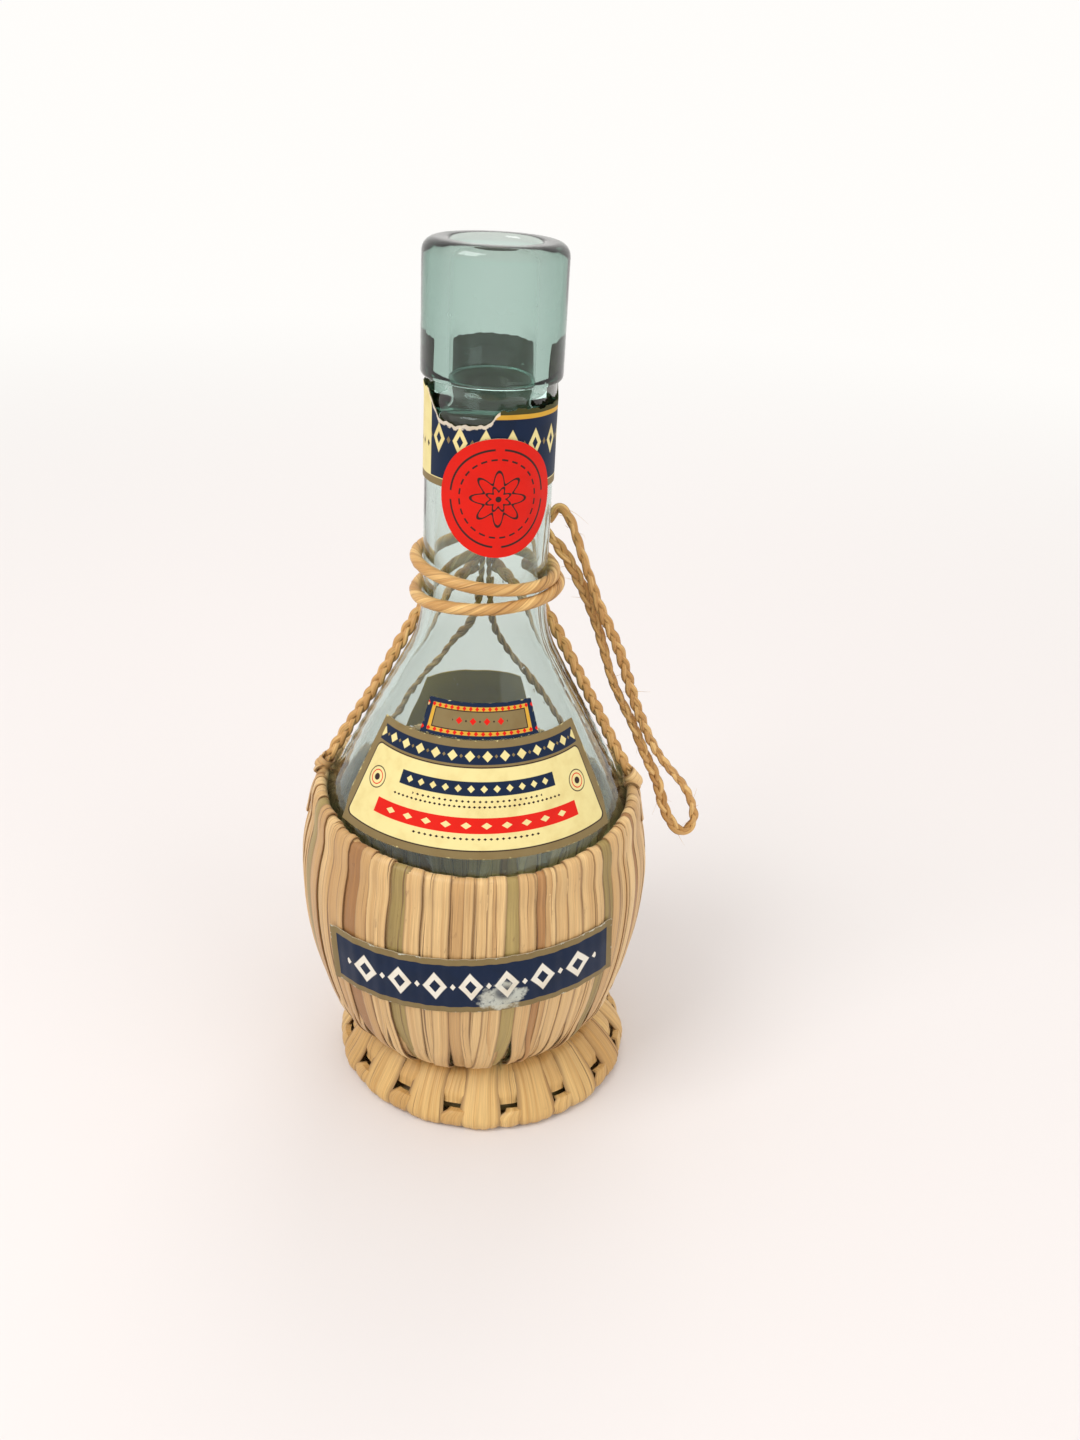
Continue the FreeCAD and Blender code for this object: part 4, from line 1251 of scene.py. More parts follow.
def strip_sheet(outline, straw, draw, middle, width, base, lean_degrees):
    """One strip of straw laid up the basket, uneven at its edges and leaning a little."""
    rim = outline.rim_height(straw, middle) + draw.uniform(-0.22, 0.12) * MM
    path = strip_path(outline, straw, rim, base)
    last = len(path) - 1
    lean = draw.uniform(-1.0, 1.0) * math.radians(lean_degrees)
    crown, tilt = draw.uniform(0.05, 0.13) * MM, draw.uniform(-0.09, 0.09) * MM
    wave = phases(draw, 5)
    loose = draw.uniform(0.3, 1.0) * MM if draw.random() < 0.35 else 0.0
    tapers = draw.random() < 0.5 and base > straw.gap + straw.strip_thickness
    pointed = draw.uniform(0.35, 0.8) if tapers else 0.0
    swing = draw.uniform(-1.0, 1.0) * math.radians(3.0)
    seed = draw.randrange(900) + 0.5
    columns = 6 if width > 0.05 else 4
    foot_top, foot_fade, floor_radius = 0.034, 0.018, 0.02
    loose_height, loose_reach = 0.021, 0.008

    def place(s, t):
        i = round(t * last)
        r, z = path[i]
        out_r, out_z = outward(path, i)
        edge = 2 * s - 1
        foot = ease((foot_top - z) / foot_fade) if r > floor_radius else 1.0
        wander = 0.03 * math.sin(7 * t + wave[0]) + 0.02 * math.sin(17 * t + wave[1])
        frayed = 0.02 * math.sin(31 * t + wave[2] + 2 * edge) * abs(edge)
        spread = min((outline.shape.bulb_radius / max(r, 0.01)) ** 0.5, 1.3) * (1 - pointed * foot)
        lift = crown * (0.6 - edge * edge) + tilt * edge
        lift += 0.00005 * math.sin(23 * t + wave[3] + 3 * edge) + 0.00003 * math.sin(9 * edge + wave[4])
        if r > floor_radius:
            lift += loose * ease(1 - abs(z - loose_height) / loose_reach)
        turn = middle + lean * (t - 0.6) + swing * foot + (edge / 2 * spread + wander + frayed) * width
        return around(r + out_r * lift, turn, z + out_z * lift)

    belly, tall = 0.0418, 0.11
    sheet = laid_sheet("strip", columns, last, place, lambda s, t: (s * width * belly, t * tall, seed))
    thicken(sheet, straw.strip_thickness)
    return sheet


def basket():
    """Upright straw strips round the flask, with the floor under it."""
    shape, straw = settings("shape", "straw")
    outline = Outline(shape)
    red, olive = {3, 8, 14, 19, 23, 31, 36}, {2, 6, 12, 17, 27, 33, 38}
    draw = random.Random(8)
    low = straw.gap + straw.strip_thickness / 2
    overlap = 1.14
    first_lift, second_lift, thin_lift = 0.00028, 0.00046, 0.00066
    for number, (middle, width) in enumerate(strip_spans(straw, shape), 1):
        node = "basket_strip_%02d" % number
        kind = "straw_red" if number in red else "straw_olive" if number in olive else "straw_pale"
        part = width * (0.5 + draw.uniform(-0.14, 0.14))
        rest = width - part
        left, right = middle - width / 2, middle + width / 2
        step = 0.0001 * (number % 2)
        plan = [
            (left + part / 2, part * overlap, low + first_lift + step, 2.2, kind),
            (right - rest / 2, rest * overlap, low + second_lift + step, 2.2, "straw_pale"),
            (right, draw.uniform(0.07, 0.09), low, 0.5, "straw_pale"),
        ]
        if draw.random() < 0.4:
            beside = middle + width * draw.uniform(-0.45, 0.45)
            plan.append((beside, draw.uniform(0.022, 0.045), low + thin_lift, 4.0, "straw_pale"))
        sheets = []
        for turn, wide, base, lean, own in plan:
            sheet = strip_sheet(outline, straw, draw, turn, wide, base, lean)
            sheet.data.materials.append(straw_finish(own))
            sheets.append(sheet)
        piece = joined("straw_" + node[7:], sheets)
        finish_piece(piece, straw_finish(kind), [node])
    bottom = shape.bottom_height
    profile = [
        (0.0, bottom - 0.00035), (0.012, bottom - 0.00035), (0.0125, bottom - 0.0006),
        (0.012, bottom - 0.0009), (0.0, bottom - 0.0010),
    ]
    floor = spun("basket_floor", profile, 48)
    keep_marks(floor.data, [(vertex.co.x, vertex.co.y, 0.5) for vertex in floor.data.vertices])
    finish_piece(floor, straw_finish("straw_pale"), ["basket_base"])


def rounded_path(points, times=3):
    """A line of points with its corners cut smooth."""
    for _ in range(times):
        cut = [points[0]]
        for (r0, z0), (r1, z1) in zip(points, points[1:]):
            cut.append((0.75 * r0 + 0.25 * r1, 0.75 * z0 + 0.25 * z1))
            cut.append((0.25 * r0 + 0.75 * r1, 0.25 * z0 + 0.75 * z1))
        points = cut + [points[-1]]
    return points


def ring_path(outline, straw, turn):
    """Section of the foot ring's plaiting at a turn: from the basket over the edge, down and in below."""
    corner = outline.shape.corner_curve + straw.gap + straw.layer
    top = straw.foot_height + 0.0002
    room = outline.corner[0] + math.sqrt(corner ** 2 - (outline.corner[1] - straw.foot_height) ** 2)
    top_radius = room + straw.foot_ledge
    foot = top_radius + straw.foot_spread
    bore = straw.foot_bore
    aside = (straw.foot_shift * math.cos(turn)) ** 2
    basket_side = math.sqrt(max((room + 0.0003) ** 2 - aside, 0.0)) - straw.foot_shift * math.sin(turn)
    start = min(basket_side, top_radius + 0.002)
    slope = (foot - top_radius) / (straw.foot_height - 0.0025)
    points = [(start - 0.0006, top + 0.0007 if start < top_radius - 0.001 else top - 0.0003)]
    if start < top_radius - 0.0012:
        points.append((top_radius - 0.0004, top + 0.0003))
    points += [
        (max(top_radius, start) + 0.0013, top - 0.0006), (foot - slope * 0.0038 + 0.0009, 0.0072),
        (foot + 0.0004, 0.0032), (foot + 0.0002, 0.0012), (foot - 0.0011, 0.0005), (foot - 0.0040, 0.0005),
        (bore + 0.0016, 0.0005), (bore + 0.0005, 0.0017), (bore + 0.0007, 0.0052),
    ]
    return rounded_path(points)


def ring_straw(name, outline, straw, middle, width, low, high, kind, draw):
    """A straw of the plaiting between two shares of its section: broad, or an end over or under a slit."""
    path = ring_path(outline, straw, middle)
    walk = [0.0]
    for (r0, z0), (r1, z1) in zip(path, path[1:]):
        walk.append(walk[-1] + math.hypot(r1 - r0, z1 - z0))
    first = next(i for i, w in enumerate(walk) if w >= low * walk[-1])
    last = max(i for i, w in enumerate(walk) if w <= high * walk[-1])
    rows = last - first
    wave = phases(draw, 4)
    lean = draw.uniform(-1, 1) * math.radians(1.6)
    lobes = draw.choice((2, 3, 3, 4)) if kind == "broad" else draw.choice((1, 2))
    seed = draw.randrange(900) + 0.5
    notch = draw.uniform(0.22, 0.42)

    def place(s, t):
        i = first + round(t * rows)
        r, z = path[i]
        in_r, in_z = outward(path, i)
        edge = 2 * s - 1
        walked = walk[i] - walk[first]
        left = walk[last] - walk[i]
        groove = 0.0003 * abs(math.sin(math.pi * lobes * s + 0.25 * math.sin(5 * t + wave[0]))) ** 0.7
        lift = 0.00025 - 0.0005 * edge * edge + groove
        share = edge / 2 + 0.025 * math.sin(9 * t + wave[2]) + 0.02 * edge * math.sin(23 * t + wave[3])
        if kind == "upper":
            lift -= 0.0003 + 0.0011 * ease(1 - left / 0.0026)
        if kind == "lower":
            lift += 0.0005 * ease(1 - walked / 0.004) - 0.0003 - 0.0013 * ease(1 - walked / 0.0007)
            share += notch * (1 - s) * ease(1 - walked / 0.0024)
        lift += 0.00008 * math.sin(11 * t + wave[1] + 2 * edge)
        turn = middle + lean * (t - 0.5) + width * share
        spot = around(r - in_r * lift, turn, max(z - in_z * lift, 0.0003))
        return spot + Vector((straw.foot_shift, 0.0, 0.0))

    columns = 12 if kind == "broad" else 8
    piece = laid_sheet(name, columns, rows, place, lambda s, t: (s * 0.008, t * 0.04 * (high - low), seed))
    thicken(piece, FLAT_STRAW)
    return piece


def foot_ring():
    """The plaited ring under the basket: broad straws, short ends between them and the coil inside."""
    shape, straw = settings("shape", "straw")
    outline = Outline(shape)
    draw = random.Random(77)
    step = math.tau / straw.plait_count
    wide = straw.plait_narrow * 1.06
    broad, ends = [], []

    def add_straw(made, kind, number, turn, width, low, high):
        name = "%s_%02d" % (kind, number)
        made.append(ring_straw(name, outline, straw, turn, width, low, high, kind, draw))

    for i in range(straw.plait_count):
        turn = i * step
        add_straw(broad, "broad", i, turn, straw.plait_wide, 0.0, 1.0)
        turn += step / 2
        path = ring_path(outline, straw, turn)
        whole = sum(math.dist(p, q) for p, q in zip(path, path[1:]))
        walked = 0.0
        for p, q in zip(path, path[1:]):
            walked += math.dist(p, q)
            if q[0] > straw.foot_bore + 0.01 and q[1] < straw.slit_height + draw.uniform(-0.3, 0.5) * MM:
                break
        middle = walked / whole
        half = 0.0003 / whole
        add_straw(ends, "upper", i, turn, wide, 0.0, middle - half)
        add_straw(ends, "lower", i, turn, wide, middle + half, 1.0)
    straws = joined("foot_straws", broad)
    finish_piece(straws, straw_finish("straw_foot"), ["foot_ring_straws"])
    short = joined("foot_straw_ends", ends)
    finish_piece(short, straw_finish("straw_foot"), ["foot_ring_ends"])
    inset = 0.0022
    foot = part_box("foot_ring_core")
    reach = (foot[1].x - foot[0].x) / 2 - inset
    bore = straw.foot_bore + inset
    profile = [
        (bore, 0.0022), (bore + 0.001, 0.0012), (reach - 0.002, 0.0012), (reach - 0.0006, 0.0022),
        (reach - 0.001, 0.0034), (reach - 0.0072, 0.0098), (reach - 0.009, 0.0103), (bore + 0.004, 0.0062),
        (bore, 0.0042), (bore, 0.0022),
    ]
    coil = spun("foot_coil", rounded_path(profile, 2), 96)

    def coil_grain(spot):
        turn = math.atan2(spot.x, -spot.y)
        return math.hypot(spot.x, spot.y) + spot.z, abs(turn) * 0.03, 0.9

    keep_marks(coil.data, [coil_grain(vertex.co) for vertex in coil.data.vertices])
    for vertex in coil.data.vertices:
        vertex.co.x += straw.foot_shift
    finish_piece(coil, straw_finish("straw_olive"), ["foot_ring_core"])


def neck_paper():
    """The torn navy paper round the neck, up over the collar's edge behind."""
    shape, paper, finish = settings("shape", "paper", "finish")
    outline = Outline(shape)
    top = outline.neck_top - paper.neck_drop
    low = top - paper.neck_height
    skin = paper.gap + paper.thickness / 2
    radius = shape.neck_radius + skin
    flap = outline.collar + paper.flap_rise - top
    flap_start = paper.neck_mid + paper.neck_span / 2 - paper.flap_span

    def torn(turn):
        """How much is torn off the top: most in front on the left, less on the right, little behind."""
        place = math.degrees(turn)
        deep = 5.9 * ease((place + 68) / 24) * ease((10 - place) / 16)
        deep += 2.3 * ease((place + 6) / 16) * ease((104 - place) / 24)
        ragged = 0.32 * math.sin(9 * turn) + 0.24 * math.sin(23 * turn + 1) + 0.16 * math.sin(57 * turn)
        return (deep + 0.75 * ragged + 0.62) * MM

    def tallness(turn):
        """Height of the paper at a turn; behind it reaches up on the collar."""
        behind = ease((turn - flap_start) / math.radians(14))
        return paper.neck_height - torn(turn) * (1 - 0.6 * behind) + flap * behind

    def glass_at(height):
        """Radius of the neck, and of the collar over it, which the paper reaches in a short slope."""
        neck = outline.neck_radius(min(height, outline.neck_top))
        over = min(max((height - outline.neck_top) / paper.neck_drop + 1, 0.0), 1.0)
        return neck + (shape.collar_radius - neck) * over

    def turn_of(s):
        return paper.neck_mid + (s - 0.5) * paper.neck_span

    def place(s, t):
        turn = turn_of(s)
        height = low + tallness(turn) * t
        lift = 0.00018 * ease((t - 0.85) / 0.15) * (0.5 + 0.5 * math.sin(11 * turn))
        return around(glass_at(height) + skin + lift, turn, height)

    def mark(s, t):
        turn = turn_of(s)
        height = tallness(turn)
        across, up = (turn - paper.print_mid) * radius, t * height - paper.neck_height / 2
        return across / MM, up / MM, (1 - t) * height / MM

    label = laid_sheet("neck_paper", 190, 44, place, mark)
    printed = neck_print(paper.neck_span * radius / MM, paper.neck_height / MM / 2)
    glue = paper_back("glued neck back", finish.neck_glue)
    finish_paper(label, printed, "neck_label", glue)


def round_seal():
    """The round red seal over the neck paper."""
    shape, paper = settings("shape", "paper")
    outline = Outline(shape)
    middle = outline.neck_top - paper.neck_drop - paper.seal_drop
    reach = paper.seal_radius
    over = 2 * paper.gap + 1.5 * paper.thickness + 0.0001

    def disc(s, t):
        x, y = 2 * s - 1, 2 * t - 1
        return reach * x * math.sqrt(1 - y * y / 2), reach * y * math.sqrt(1 - x * x / 2)

    def place(s, t):
        x, y = disc(s, t)
        rim = ease((math.hypot(x, y) / reach - 0.9) / 0.1)
        neck = outline.neck_radius(middle + y) + over
        return around(neck + 0.00012 * rim, paper.seal_mid + x / neck, middle + y)

    def mark(s, t):
        x, y = disc(s, t)
        return x / MM, y / MM, 0.0

    seal = laid_sheet("red_seal", 40, 40, place, mark)
    finish_paper(seal, seal_print(reach / MM), "round_seal")


def neck_papers():
    """The paper round the neck and the seal on it."""
    neck_paper()
    round_seal()


def neck_print(wide, tall):
    """Lozenges in a row on navy, a pale panel on the left and a torn upper edge."""
    finish = bpy.context.scene.flask_finish
    ink = Print("navy neck paper", finish.navy)
    graph = ink.graph
    ink.paint(finish.cream, ink.row(5.6, 3.5, 6.4, 0.1))
    ink.paint(finish.navy, ink.row(5.6, 1.5, 2.6, 0.1))
    ink.paint(finish.gold, ink.row(5.6, 1.0, 1.6, 0.1, 2.8))
    ink.paint(finish.bright_gold, ink.box(-1.0, 30, 5.4, 6.4))
    ink.paint(finish.neck_glue, ink.box(-1.0, 30, 6.4, tall + 1))
    panel = ink.box(-36.0, -16.8, -tall - 1, tall + 1)
    ink.paint(finish.cream, panel)
    ink.paint(finish.ink, ink.row(2.4, 1.0, 1.6, -2.0), panel)
    ink.paint(finish.gold, ink.box(-wide, wide, -tall, -tall + 1.6))
    ink.paint(finish.cream, ink.box(-wide, wide, -tall + 1.6, -tall + 1.8))
    ragged = graph.noise(ink.where, scale=0.9, detail=4.0, roughness=0.7)
    under = graph.minus(ink.under, graph.both(ragged, 1.7))
    torn_edge = graph.both(graph.step(under, 0.1, -0.2), ink.box(-19.0, 0.0, -tall, tall))
    return ink.done(wide, 2 * tall, bare=finish.torn, scuff=torn_edge)


def seal_print(reach):
    """A broken ring, a flower of lines and a ring of dashes on red."""
    finish = bpy.context.scene.flask_finish
    ink = Print("red seal paper", finish.red)
    graph = ink.graph
    far = ink.radius()
    turn = graph.math("ARCTAN2", ink.y, ink.x)
    petals = graph.math("COSINE", graph.both(turn, 8.0))

    def dashes(times, low, high):
        return graph.step(graph.size(graph.math("SINE", graph.both(turn, times))), low, high)

    def flower(wave, middle, outer, inner):
        line = graph.minus(far, graph.math("MULTIPLY_ADD", petals, wave * reach, middle * reach))
        return graph.step(graph.size(line), outer * reach, inner * reach)

    ink.paint(finish.ink, dashes(2.0, 0.16, 0.2), ink.between(far, 0.80 * reach, 0.835 * reach))
    ink.paint(finish.ink, flower(0.10, 0.36, 0.030, 0.018))
    ink.paint(finish.ink, flower(-0.04, 0.17, 0.026, 0.016))
    ink.paint(finish.ink, graph.step(far, 0.055 * reach, 0.045 * reach))
    ink.paint(finish.ink, dashes(12.0, 0.55, 0.62), ink.between(far, 0.64 * reach, 0.67 * reach))
    return ink.done(40.0, 40.0, roughness=0.38)


def shoulder_papers():
    """The papers on the slope: the fan-shaped main one, the small one over it and a plain one behind."""
    shape, straw, paper, finish = settings("shape", "straw", "paper", "finish")
    outline = Outline(shape)
    bottom = shape.bulb_height + straw.rim_over + paper.front_rise
    offset = paper.gap + paper.thickness / 2

    def fan(name, low, height, span, columns, narrow=0.0, skew=0.0, mid=0.0):
        """A fan-shaped paper, narrower at its foot and a little askew, with half its flat sides."""
        middle = outline.cone_radius(low + height / 2, offset)

        def turn_of(s, t):
            side = 1 - narrow * ease((0.30 - t) / 0.30)
            return (s - 0.5) * span * side

        def place(s, t):
            turn = turn_of(s, t)
            z = low + height * t + skew * math.sin(turn)
            curl = 0.00018 * ease((abs(2 * s - 1) - 0.94) / 0.06)
            return around(outline.cone_radius(z, offset + curl), mid + turn, z)

        def mark(s, t):
            return turn_of(s, t) * middle / MM, (t - 0.5) * height / outline.cos / MM, 0.0

        sheet = laid_sheet(name, columns, 18, place, mark)
        return sheet, span * middle / MM / 2, height / outline.cos / MM / 2

    sheet, wide, tall = fan("main_paper", bottom, paper.front_height, paper.front_span, 90, 0.05, 0.0004)
    finish_paper(sheet, main_print(wide, tall), "front_label")
    low = bottom + paper.front_height + paper.small_rise
    sheet, wide, tall = fan("small_paper", low, paper.small_height, paper.small_span, 60, skew=0.0003)
    finish_paper(sheet, small_print(wide, tall), "date_label")
    sheet, wide, tall = fan(
        "back_paper", bottom, paper.back_height, paper.back_span, 40, mid=paper.back_mid)
    # The back of this paper gets the glue colour, brightened as painted light shining through the paper
    glue = paper_back("glued back with painted backlight", finish.glue)
    finish_paper(sheet, plain_print(wide, tall), "back_label", glue)


def main_print(wide, tall):
    """A navy arch of lozenges over a cream panel with two bands, dots and rings."""
    finish = bpy.context.scene.flask_finish
    ink = Print("cream main paper", finish.gold)
    arch = ink.box(-wide + 1.9, wide - 1.9, tall - 5.4, tall - 1.7)
    ink.paint(finish.navy, arch)
    ink.paint(finish.cream, ink.row(4.6, 2.7, 2.5, tall - 3.55), arch)
    ink.paint(finish.gold, ink.row(4.6, 0.9, 0.9, tall - 3.55, 2.3), arch)
    half = (2 * tall - 6.2 - 2.0) / 2
    mid = -tall + 2.0 + half
    ink.paint(finish.ink, ink.rounded(wide - 2.0, half + 0.3, 1.6, mid))
    ink.paint(finish.cream, ink.rounded(wide - 2.3, half, 1.5, mid))

    def across(reach):
        return ink.box(-reach, reach, -20, 20)

    ink.paint(finish.navy, ink.box(-19, 19, mid + 2.9, mid + 6.1))
    ink.paint(finish.cream, ink.row(3.0, 1.7, 1.7, mid + 4.5), across(18))
    ink.paint(finish.red, ink.box(-23, 23, mid - 5.4, mid - 1.9))
    ink.paint(finish.cream, ink.row(4.2, 2.2, 1.5, mid - 3.65), across(21))
    for height, reach, pitch in ((1.7, 15.0, 1.3), (0.5, 20.0, 1.1), (-6.6, 13.0, 1.2)):
        ink.paint(finish.ink, ink.row(pitch, 0.75, 0.62, mid + height), across(reach))
    for side in (-25.6, 25.6):
        far = ink.radius(side, mid + 1.9)
        ink.paint(finish.ink, ink.between(far, 2.35, 2.6))
        ink.paint(finish.red, ink.between(far, 1.5, 1.75))
        ink.paint(finish.ink, ink.graph.step(far, 0.85, 0.75))
    return ink.done(wide, tall, roughness=0.34)


def small_print(wide, tall):
    """A bright border with red lozenges round a dull gold field."""
    finish = bpy.context.scene.flask_finish
    ink = Print("gold small paper", finish.navy)
    ink.paint(finish.bright_gold, ink.box(-wide + 1.25, wide - 1.25, -tall + 0.75, tall - 1.0))
    for height in (tall - 1.45, -tall + 1.2):
        ink.paint(finish.red, ink.row(1.5, 0.95, 1.1, height))
    ink.paint(finish.ink, ink.box(-wide + 2.1, wide - 2.1, -tall + 1.65, tall - 1.9))
    ink.paint(finish.gold, ink.box(-wide + 2.35, wide - 2.35, -tall + 1.9, tall - 2.15))
    field = ink.box(-6.2, 6.2, -5, 5)
    ink.paint(finish.red, ink.row(3.1, 1.5, 1.7, -0.1), field)
    ink.paint(finish.ink, ink.row(3.1, 0.5, 0.6, -0.1, 1.55), field)
    return ink.done(wide, tall, roughness=0.34)


def plain_print(wide, tall):
    """A thin frame, a row of lozenges and plain lines."""
    finish = bpy.context.scene.flask_finish
    ink = Print("plain back paper", finish.plain)
    ink.paint(finish.ink, ink.rounded(wide - 1.0, tall - 1.0, 1.2))
    ink.paint(finish.plain, ink.rounded(wide - 1.35, tall - 1.35, 1.0))
    ink.paint(finish.ink, ink.row(2.6, 1.5, 1.5, tall - 4.0), ink.box(-7, 7, -20, 20))
    for line, half in ((2.6, 8.5), (1.2, 9.5), (-0.2, 9.0), (-1.6, 9.5), (-3.0, 6.0)):
        ink.paint(finish.ink, ink.box(-half, half, line - 0.16, line + 0.16))
    return ink.done(wide, tall, roughness=0.6)


def basket_paper():
    """The straight navy paper across the front of the basket, scuffed in one place."""
    shape, straw, paper = settings("shape", "straw", "paper")
    outline = Outline(shape)
    middle = shape.bulb_height - paper.band_drop
    offset = straw.gap + straw.layer + paper.gap + paper.thickness / 2
    cos, sin = math.cos(paper.band_tilt), math.sin(paper.band_tilt)

    def flat(s, t):
        return (s - 0.5) * paper.band_width, (t - 0.5) * paper.band_height

    def place(s, t):
        x, y = flat(s, t)
        across = x * cos - y * sin
        z = middle + x * sin + y * cos
        wave = 0.00009 * math.sin(1100 * x) + 0.00006 * math.sin(2300 * x + 1) + 0.00005 * math.sin(700 * y)
        ends = 0.0003 * ease((abs(2 * s - 1) - 0.95) / 0.05)
        radius = outline.body_radius(z, offset) + wave + ends
        return Vector((across, -math.sqrt(radius ** 2 - across ** 2), z))

    def mark(s, t):
        x, y = flat(s, t)
        return x / MM, y / MM, 0.0

    label = laid_sheet("basket_paper", 110, 20, place, mark)
    printed = band_print(paper.band_width / MM / 2, paper.band_height / MM / 2)
    finish_paper(label, printed, "basket_label")


def band_print(wide, tall):
    """Large pale lozenges on navy in a gold edge, with a worn place."""
    finish = bpy.context.scene.flask_finish
    ink = Print("navy basket paper", finish.gold)
    graph = ink.graph
    ink.paint(finish.navy, ink.box(-wide + 1.5, wide - 1.3, -tall + 1.7, tall - 1.7))
    field = ink.box(-wide + 4, wide - 4, -8, 8)
    row = graph.both(field, ink.row(8.2, 5.6, 8.2, 0.0, 4.1))
    ink.paint(finish.white, row)
    ink.paint(finish.navy, ink.row(8.2, 2.6, 3.9, 0.0, 4.1), row)
    ink.paint(finish.white, ink.row(8.2, 1.3, 2.0, 0.0), field)
    wander = graph.noise(ink.where, scale=0.30, detail=4.0, roughness=0.6)
    fleck = graph.noise(ink.where, scale=0.9, detail=5.0, roughness=0.7)
    across = graph.ratio(graph.minus(ink.x, 7.0), 5.2)
    up = graph.ratio(graph.plus(ink.y, 3.6), 4.4)
    far = graph.plus(graph.far(across, up), graph.span(wander, 0.2, 0.8, -0.55, 0.55))
    patch = graph.both(graph.step(far, 1.15, 0.75), graph.step(fleck, 0.24, 0.50))
    left_on = graph.both(graph.step(ink.radius(7.4, -2.4), 2.9, 1.2), 0.75)
    patch = graph.both(patch, graph.minus(1.0, left_on))
    return ink.done(wide, tall, roughness=0.42, bare=finish.bare, scuff=patch)


def set_camera(scene):
    """The camera at the photograph's angle."""
    studio = scene.flask_studio
    yaw, pitch, roll = studio.camera_yaw, studio.camera_pitch, studio.camera_roll
    forward = Vector((math.sin(yaw) * math.cos(pitch), math.cos(yaw) * math.cos(pitch), -math.sin(pitch)))
    level = Vector((math.cos(yaw), -math.sin(yaw), 0.0))
    upward = level.cross(forward)
    right = level * math.cos(roll) + upward * math.sin(roll)
    up = upward * math.cos(roll) - level * math.sin(roll)
    lens = bpy.data.cameras.new("camera")
    lens.sensor_fit = "VERTICAL"
    lens.sensor_height = 36.0
    lens.lens = studio.focal
    lens.clip_start = 0.01
    camera = bpy.data.objects.new("camera", lens)
    scene.collection.objects.link(camera)
    axes = Matrix((right, up, -forward)).transposed().to_4x4()
    camera.matrix_world = Matrix.Translation(Vector(studio.camera_place)) @ axes
    scene.camera = camera


def lay_floor(scene):
    """A plain pale floor that fades into the light far off."""
    deselect()
    bpy.ops.mesh.primitive_plane_add(size=24.0)
    floor = named("floor")
    made, graph = new_material("plain floor")
    plain = {"Base Color": scene.flask_studio.floor_colour, "Roughness": 0.75}
    shader = graph.add("ShaderNodeBsdfPrincipled", plain)
    where = graph.add("ShaderNodeTexCoord").outputs["Object"]
    away = graph.add("ShaderNodeVectorMath", {0: where}, operation="LENGTH").outputs["Value"]
    white = graph.add("ShaderNodeEmission", {"Color": WARM_WHITE, "Strength": 1.0})
    far = graph.both(graph.step(away, 0.2, 1.1), graph.seen())
    shown = graph.add("ShaderNodeMixShader", {0: far, 1: shader.outputs[0], 2: white.outputs[0]})
    graph.add("ShaderNodeOutputMaterial", {"Surface": shown.outputs[0]})
    floor.data.materials.append(made)


def set_lights(scene):
    """Soft light from all round, and three lamps that look at the flask's middle."""
    world = bpy.data.worlds.new("studio")
    scene.world = world
    world.use_nodes = True
    graph = Graph(world.node_tree)
    strength = graph.span(graph.seen(), 0.0, 1.0, 0.85, 1.0)
    light = graph.add("ShaderNodeBackground", {"Color": WARM_WHITE, "Strength": strength})
    graph.add("ShaderNodeOutputWorld", {"Surface": light.outputs[0]})
    aim = Vector((0.0, 0.0, 0.08))
    for name, place, size, power in (
        ("key", (-0.55, -0.45, 0.95), 0.55, 6.0),
        ("fill", (0.70, -0.55, 0.55), 0.7, 2.0),
        ("back", (0.15, 0.80, 0.75), 0.6, 2.0),
    ):
        lamp = bpy.data.lights.new(name, "AREA")
        lamp.size = size
        lamp.energy = power
        holder = bpy.data.objects.new(name, lamp)
        scene.collection.objects.link(holder)
        holder.location = place
        holder.rotation_euler = (aim - Vector(place)).to_track_quat("-Z", "Y").to_euler()
        holder.visible_glossy = name == "key"


def stage():
    """Camera, floor and lights."""
    scene = bpy.context.scene
    set_camera(scene)
    lay_floor(scene)
    set_lights(scene)
    scene.view_settings.view_transform = "Standard"


class StageOperator(bpy.types.Operator):
    """Set the camera, the floor and the lights"""
    bl_idname = "flask.stage"
    bl_label = "Stage"

    def execute(self, context):
        stage()
        return {"FINISHED"}


class HangingLoopOperator(bpy.types.Operator):
    """Make the doubled hanging cord"""
    bl_idname = "flask.hanging_loop"
    bl_label = "Hanging cord"

    def execute(self, context):
        hanging_loop()
        return {"FINISHED"}


class NeckWindingOperator(bpy.types.Operator):
    """Make the cord wound round the neck"""
    bl_idname = "flask.neck_winding"
    bl_label = "Neck cord"

    def execute(self, context):
        neck_winding()
        return {"FINISHED"}


class StrapsOperator(bpy.types.Operator):
    """Make the straps and their ends behind the neck"""
    bl_idname = "flask.straps"
    bl_label = "Straps"

    def execute(self, context):
        straps()
        return {"FINISHED"}


class KnotOperator(bpy.types.Operator):
    """Make the knot behind the neck"""
    bl_idname = "flask.knot"
    bl_label = "Knot"

    def execute(self, context):
        knot()
        return {"FINISHED"}


class RimTiesOperator(bpy.types.Operator):
    """Make the ties that hold the straps at the rim"""
    bl_idname = "flask.rim_ties"
    bl_label = "Rim ties"

    def execute(self, context):
        rim_ties()
        return {"FINISHED"}


class GlassOperator(bpy.types.Operator):
    """Make the glass flask"""
    bl_idname = "flask.glass"
    bl_label = "Glass"

    def execute(self, context):
        glass()
        return {"FINISHED"}


class BasketOperator(bpy.types.Operator):
    """Make the basket's straw strips and its floor"""
    bl_idname = "flask.basket"
    bl_label = "Basket"

    def execute(self, context):
        basket()
        return {"FINISHED"}


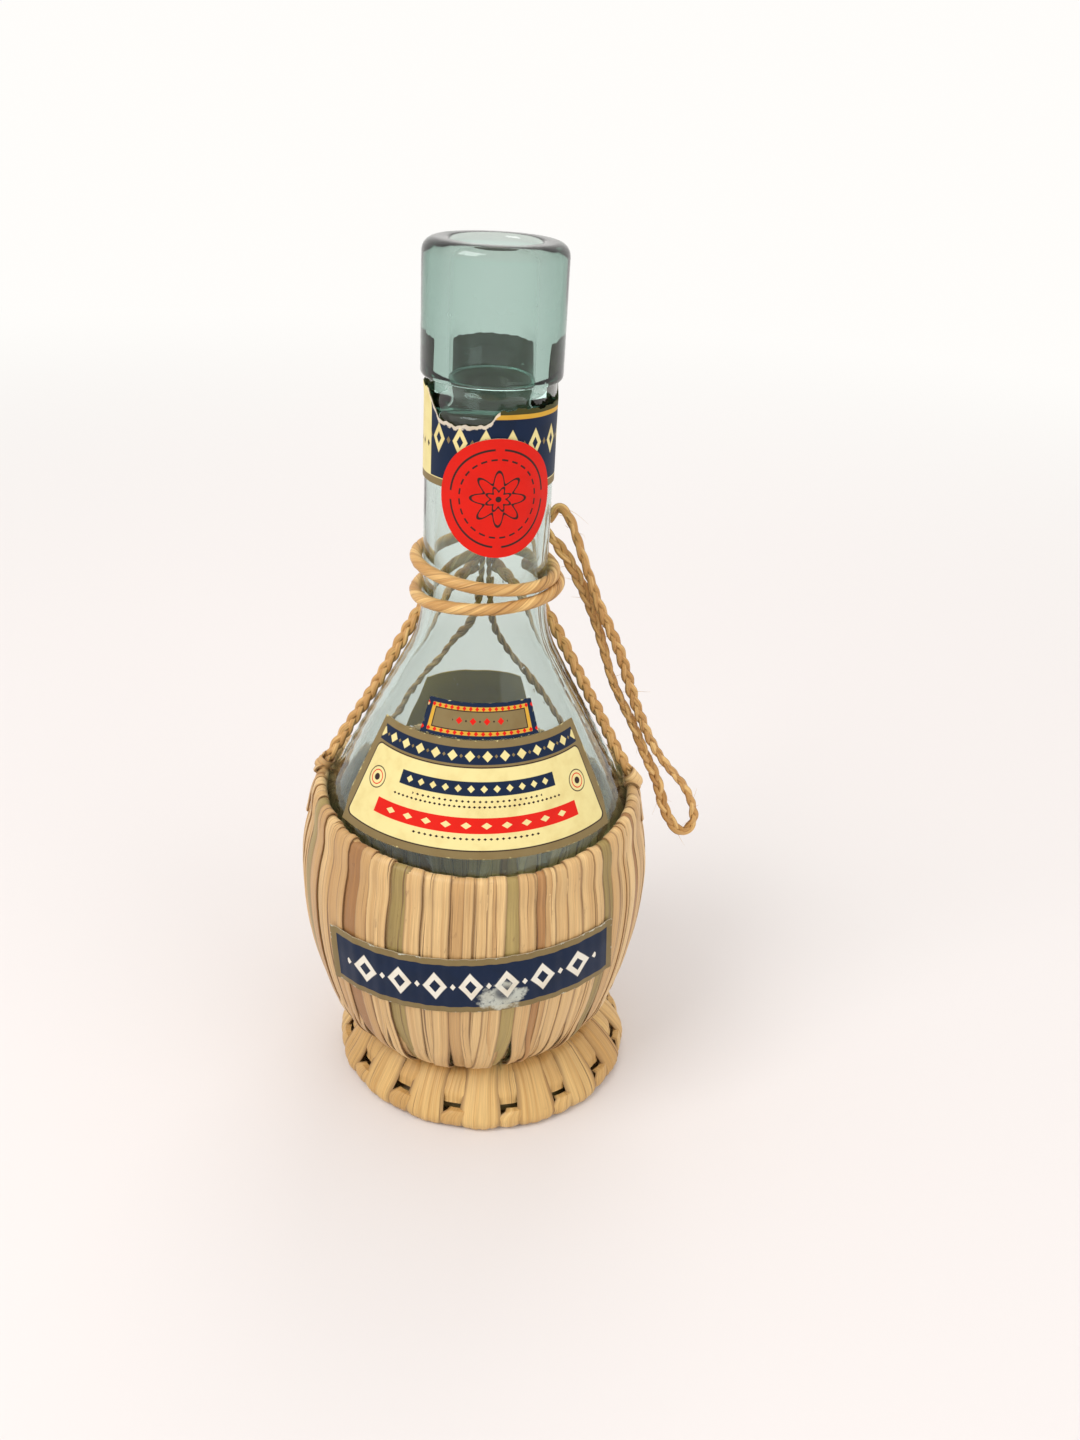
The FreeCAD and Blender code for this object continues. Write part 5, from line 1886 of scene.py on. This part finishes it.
class FootRingOperator(bpy.types.Operator):
    """Make the plaited foot ring"""
    bl_idname = "flask.foot_ring"
    bl_label = "Foot ring"

    def execute(self, context):
        foot_ring()
        return {"FINISHED"}


class NeckPapersOperator(bpy.types.Operator):
    """Make the paper round the neck and its seal"""
    bl_idname = "flask.neck_papers"
    bl_label = "Neck paper and seal"

    def execute(self, context):
        neck_papers()
        return {"FINISHED"}


class ShoulderPapersOperator(bpy.types.Operator):
    """Make the papers on the flask's slope"""
    bl_idname = "flask.shoulder_papers"
    bl_label = "Shoulder papers"

    def execute(self, context):
        shoulder_papers()
        return {"FINISHED"}


class BasketPaperOperator(bpy.types.Operator):
    """Make the paper across the basket"""
    bl_idname = "flask.basket_paper"
    bl_label = "Basket paper"

    def execute(self, context):
        basket_paper()
        return {"FINISHED"}


STEPS = (
    StageOperator, HangingLoopOperator, NeckWindingOperator, StrapsOperator, KnotOperator, RimTiesOperator,
    GlassOperator, BasketOperator, FootRingOperator, NeckPapersOperator, ShoulderPapersOperator,
    BasketPaperOperator,
)


class FlaskPanel(bpy.types.Panel):
    """Lists the steps that build the flask"""
    bl_idname = "VIEW3D_PT_flask"
    bl_label = "Wine flask"
    bl_space_type = "VIEW_3D"
    bl_region_type = "UI"
    bl_category = "Flask"

    def draw(self, context):
        for step in STEPS:
            self.layout.operator(step.bl_idname)


GROUPS = {
    "flask_shape": FlaskShape, "flask_straw": StrawShape, "flask_cords": CordShape, "flask_paper": PaperShape,
    "flask_finish": FlaskFinish, "flask_studio": FlaskStudio,
}


def register():
    for name, group in GROUPS.items():
        bpy.utils.register_class(group)
        setattr(bpy.types.Scene, name, bpy.props.PointerProperty(type=group))
    for step in STEPS:
        bpy.utils.register_class(step)
    bpy.utils.register_class(FlaskPanel)


def unregister():
    bpy.utils.unregister_class(FlaskPanel)
    for step in reversed(STEPS):
        bpy.utils.unregister_class(step)
    for name, group in reversed(GROUPS.items()):
        delattr(bpy.types.Scene, name)
        bpy.utils.unregister_class(group)


def main():
    register()
    for step in STEPS:
        area, name = step.bl_idname.split(".")
        getattr(getattr(bpy.ops, area), name)()


if __name__ == "__main__":
    main()
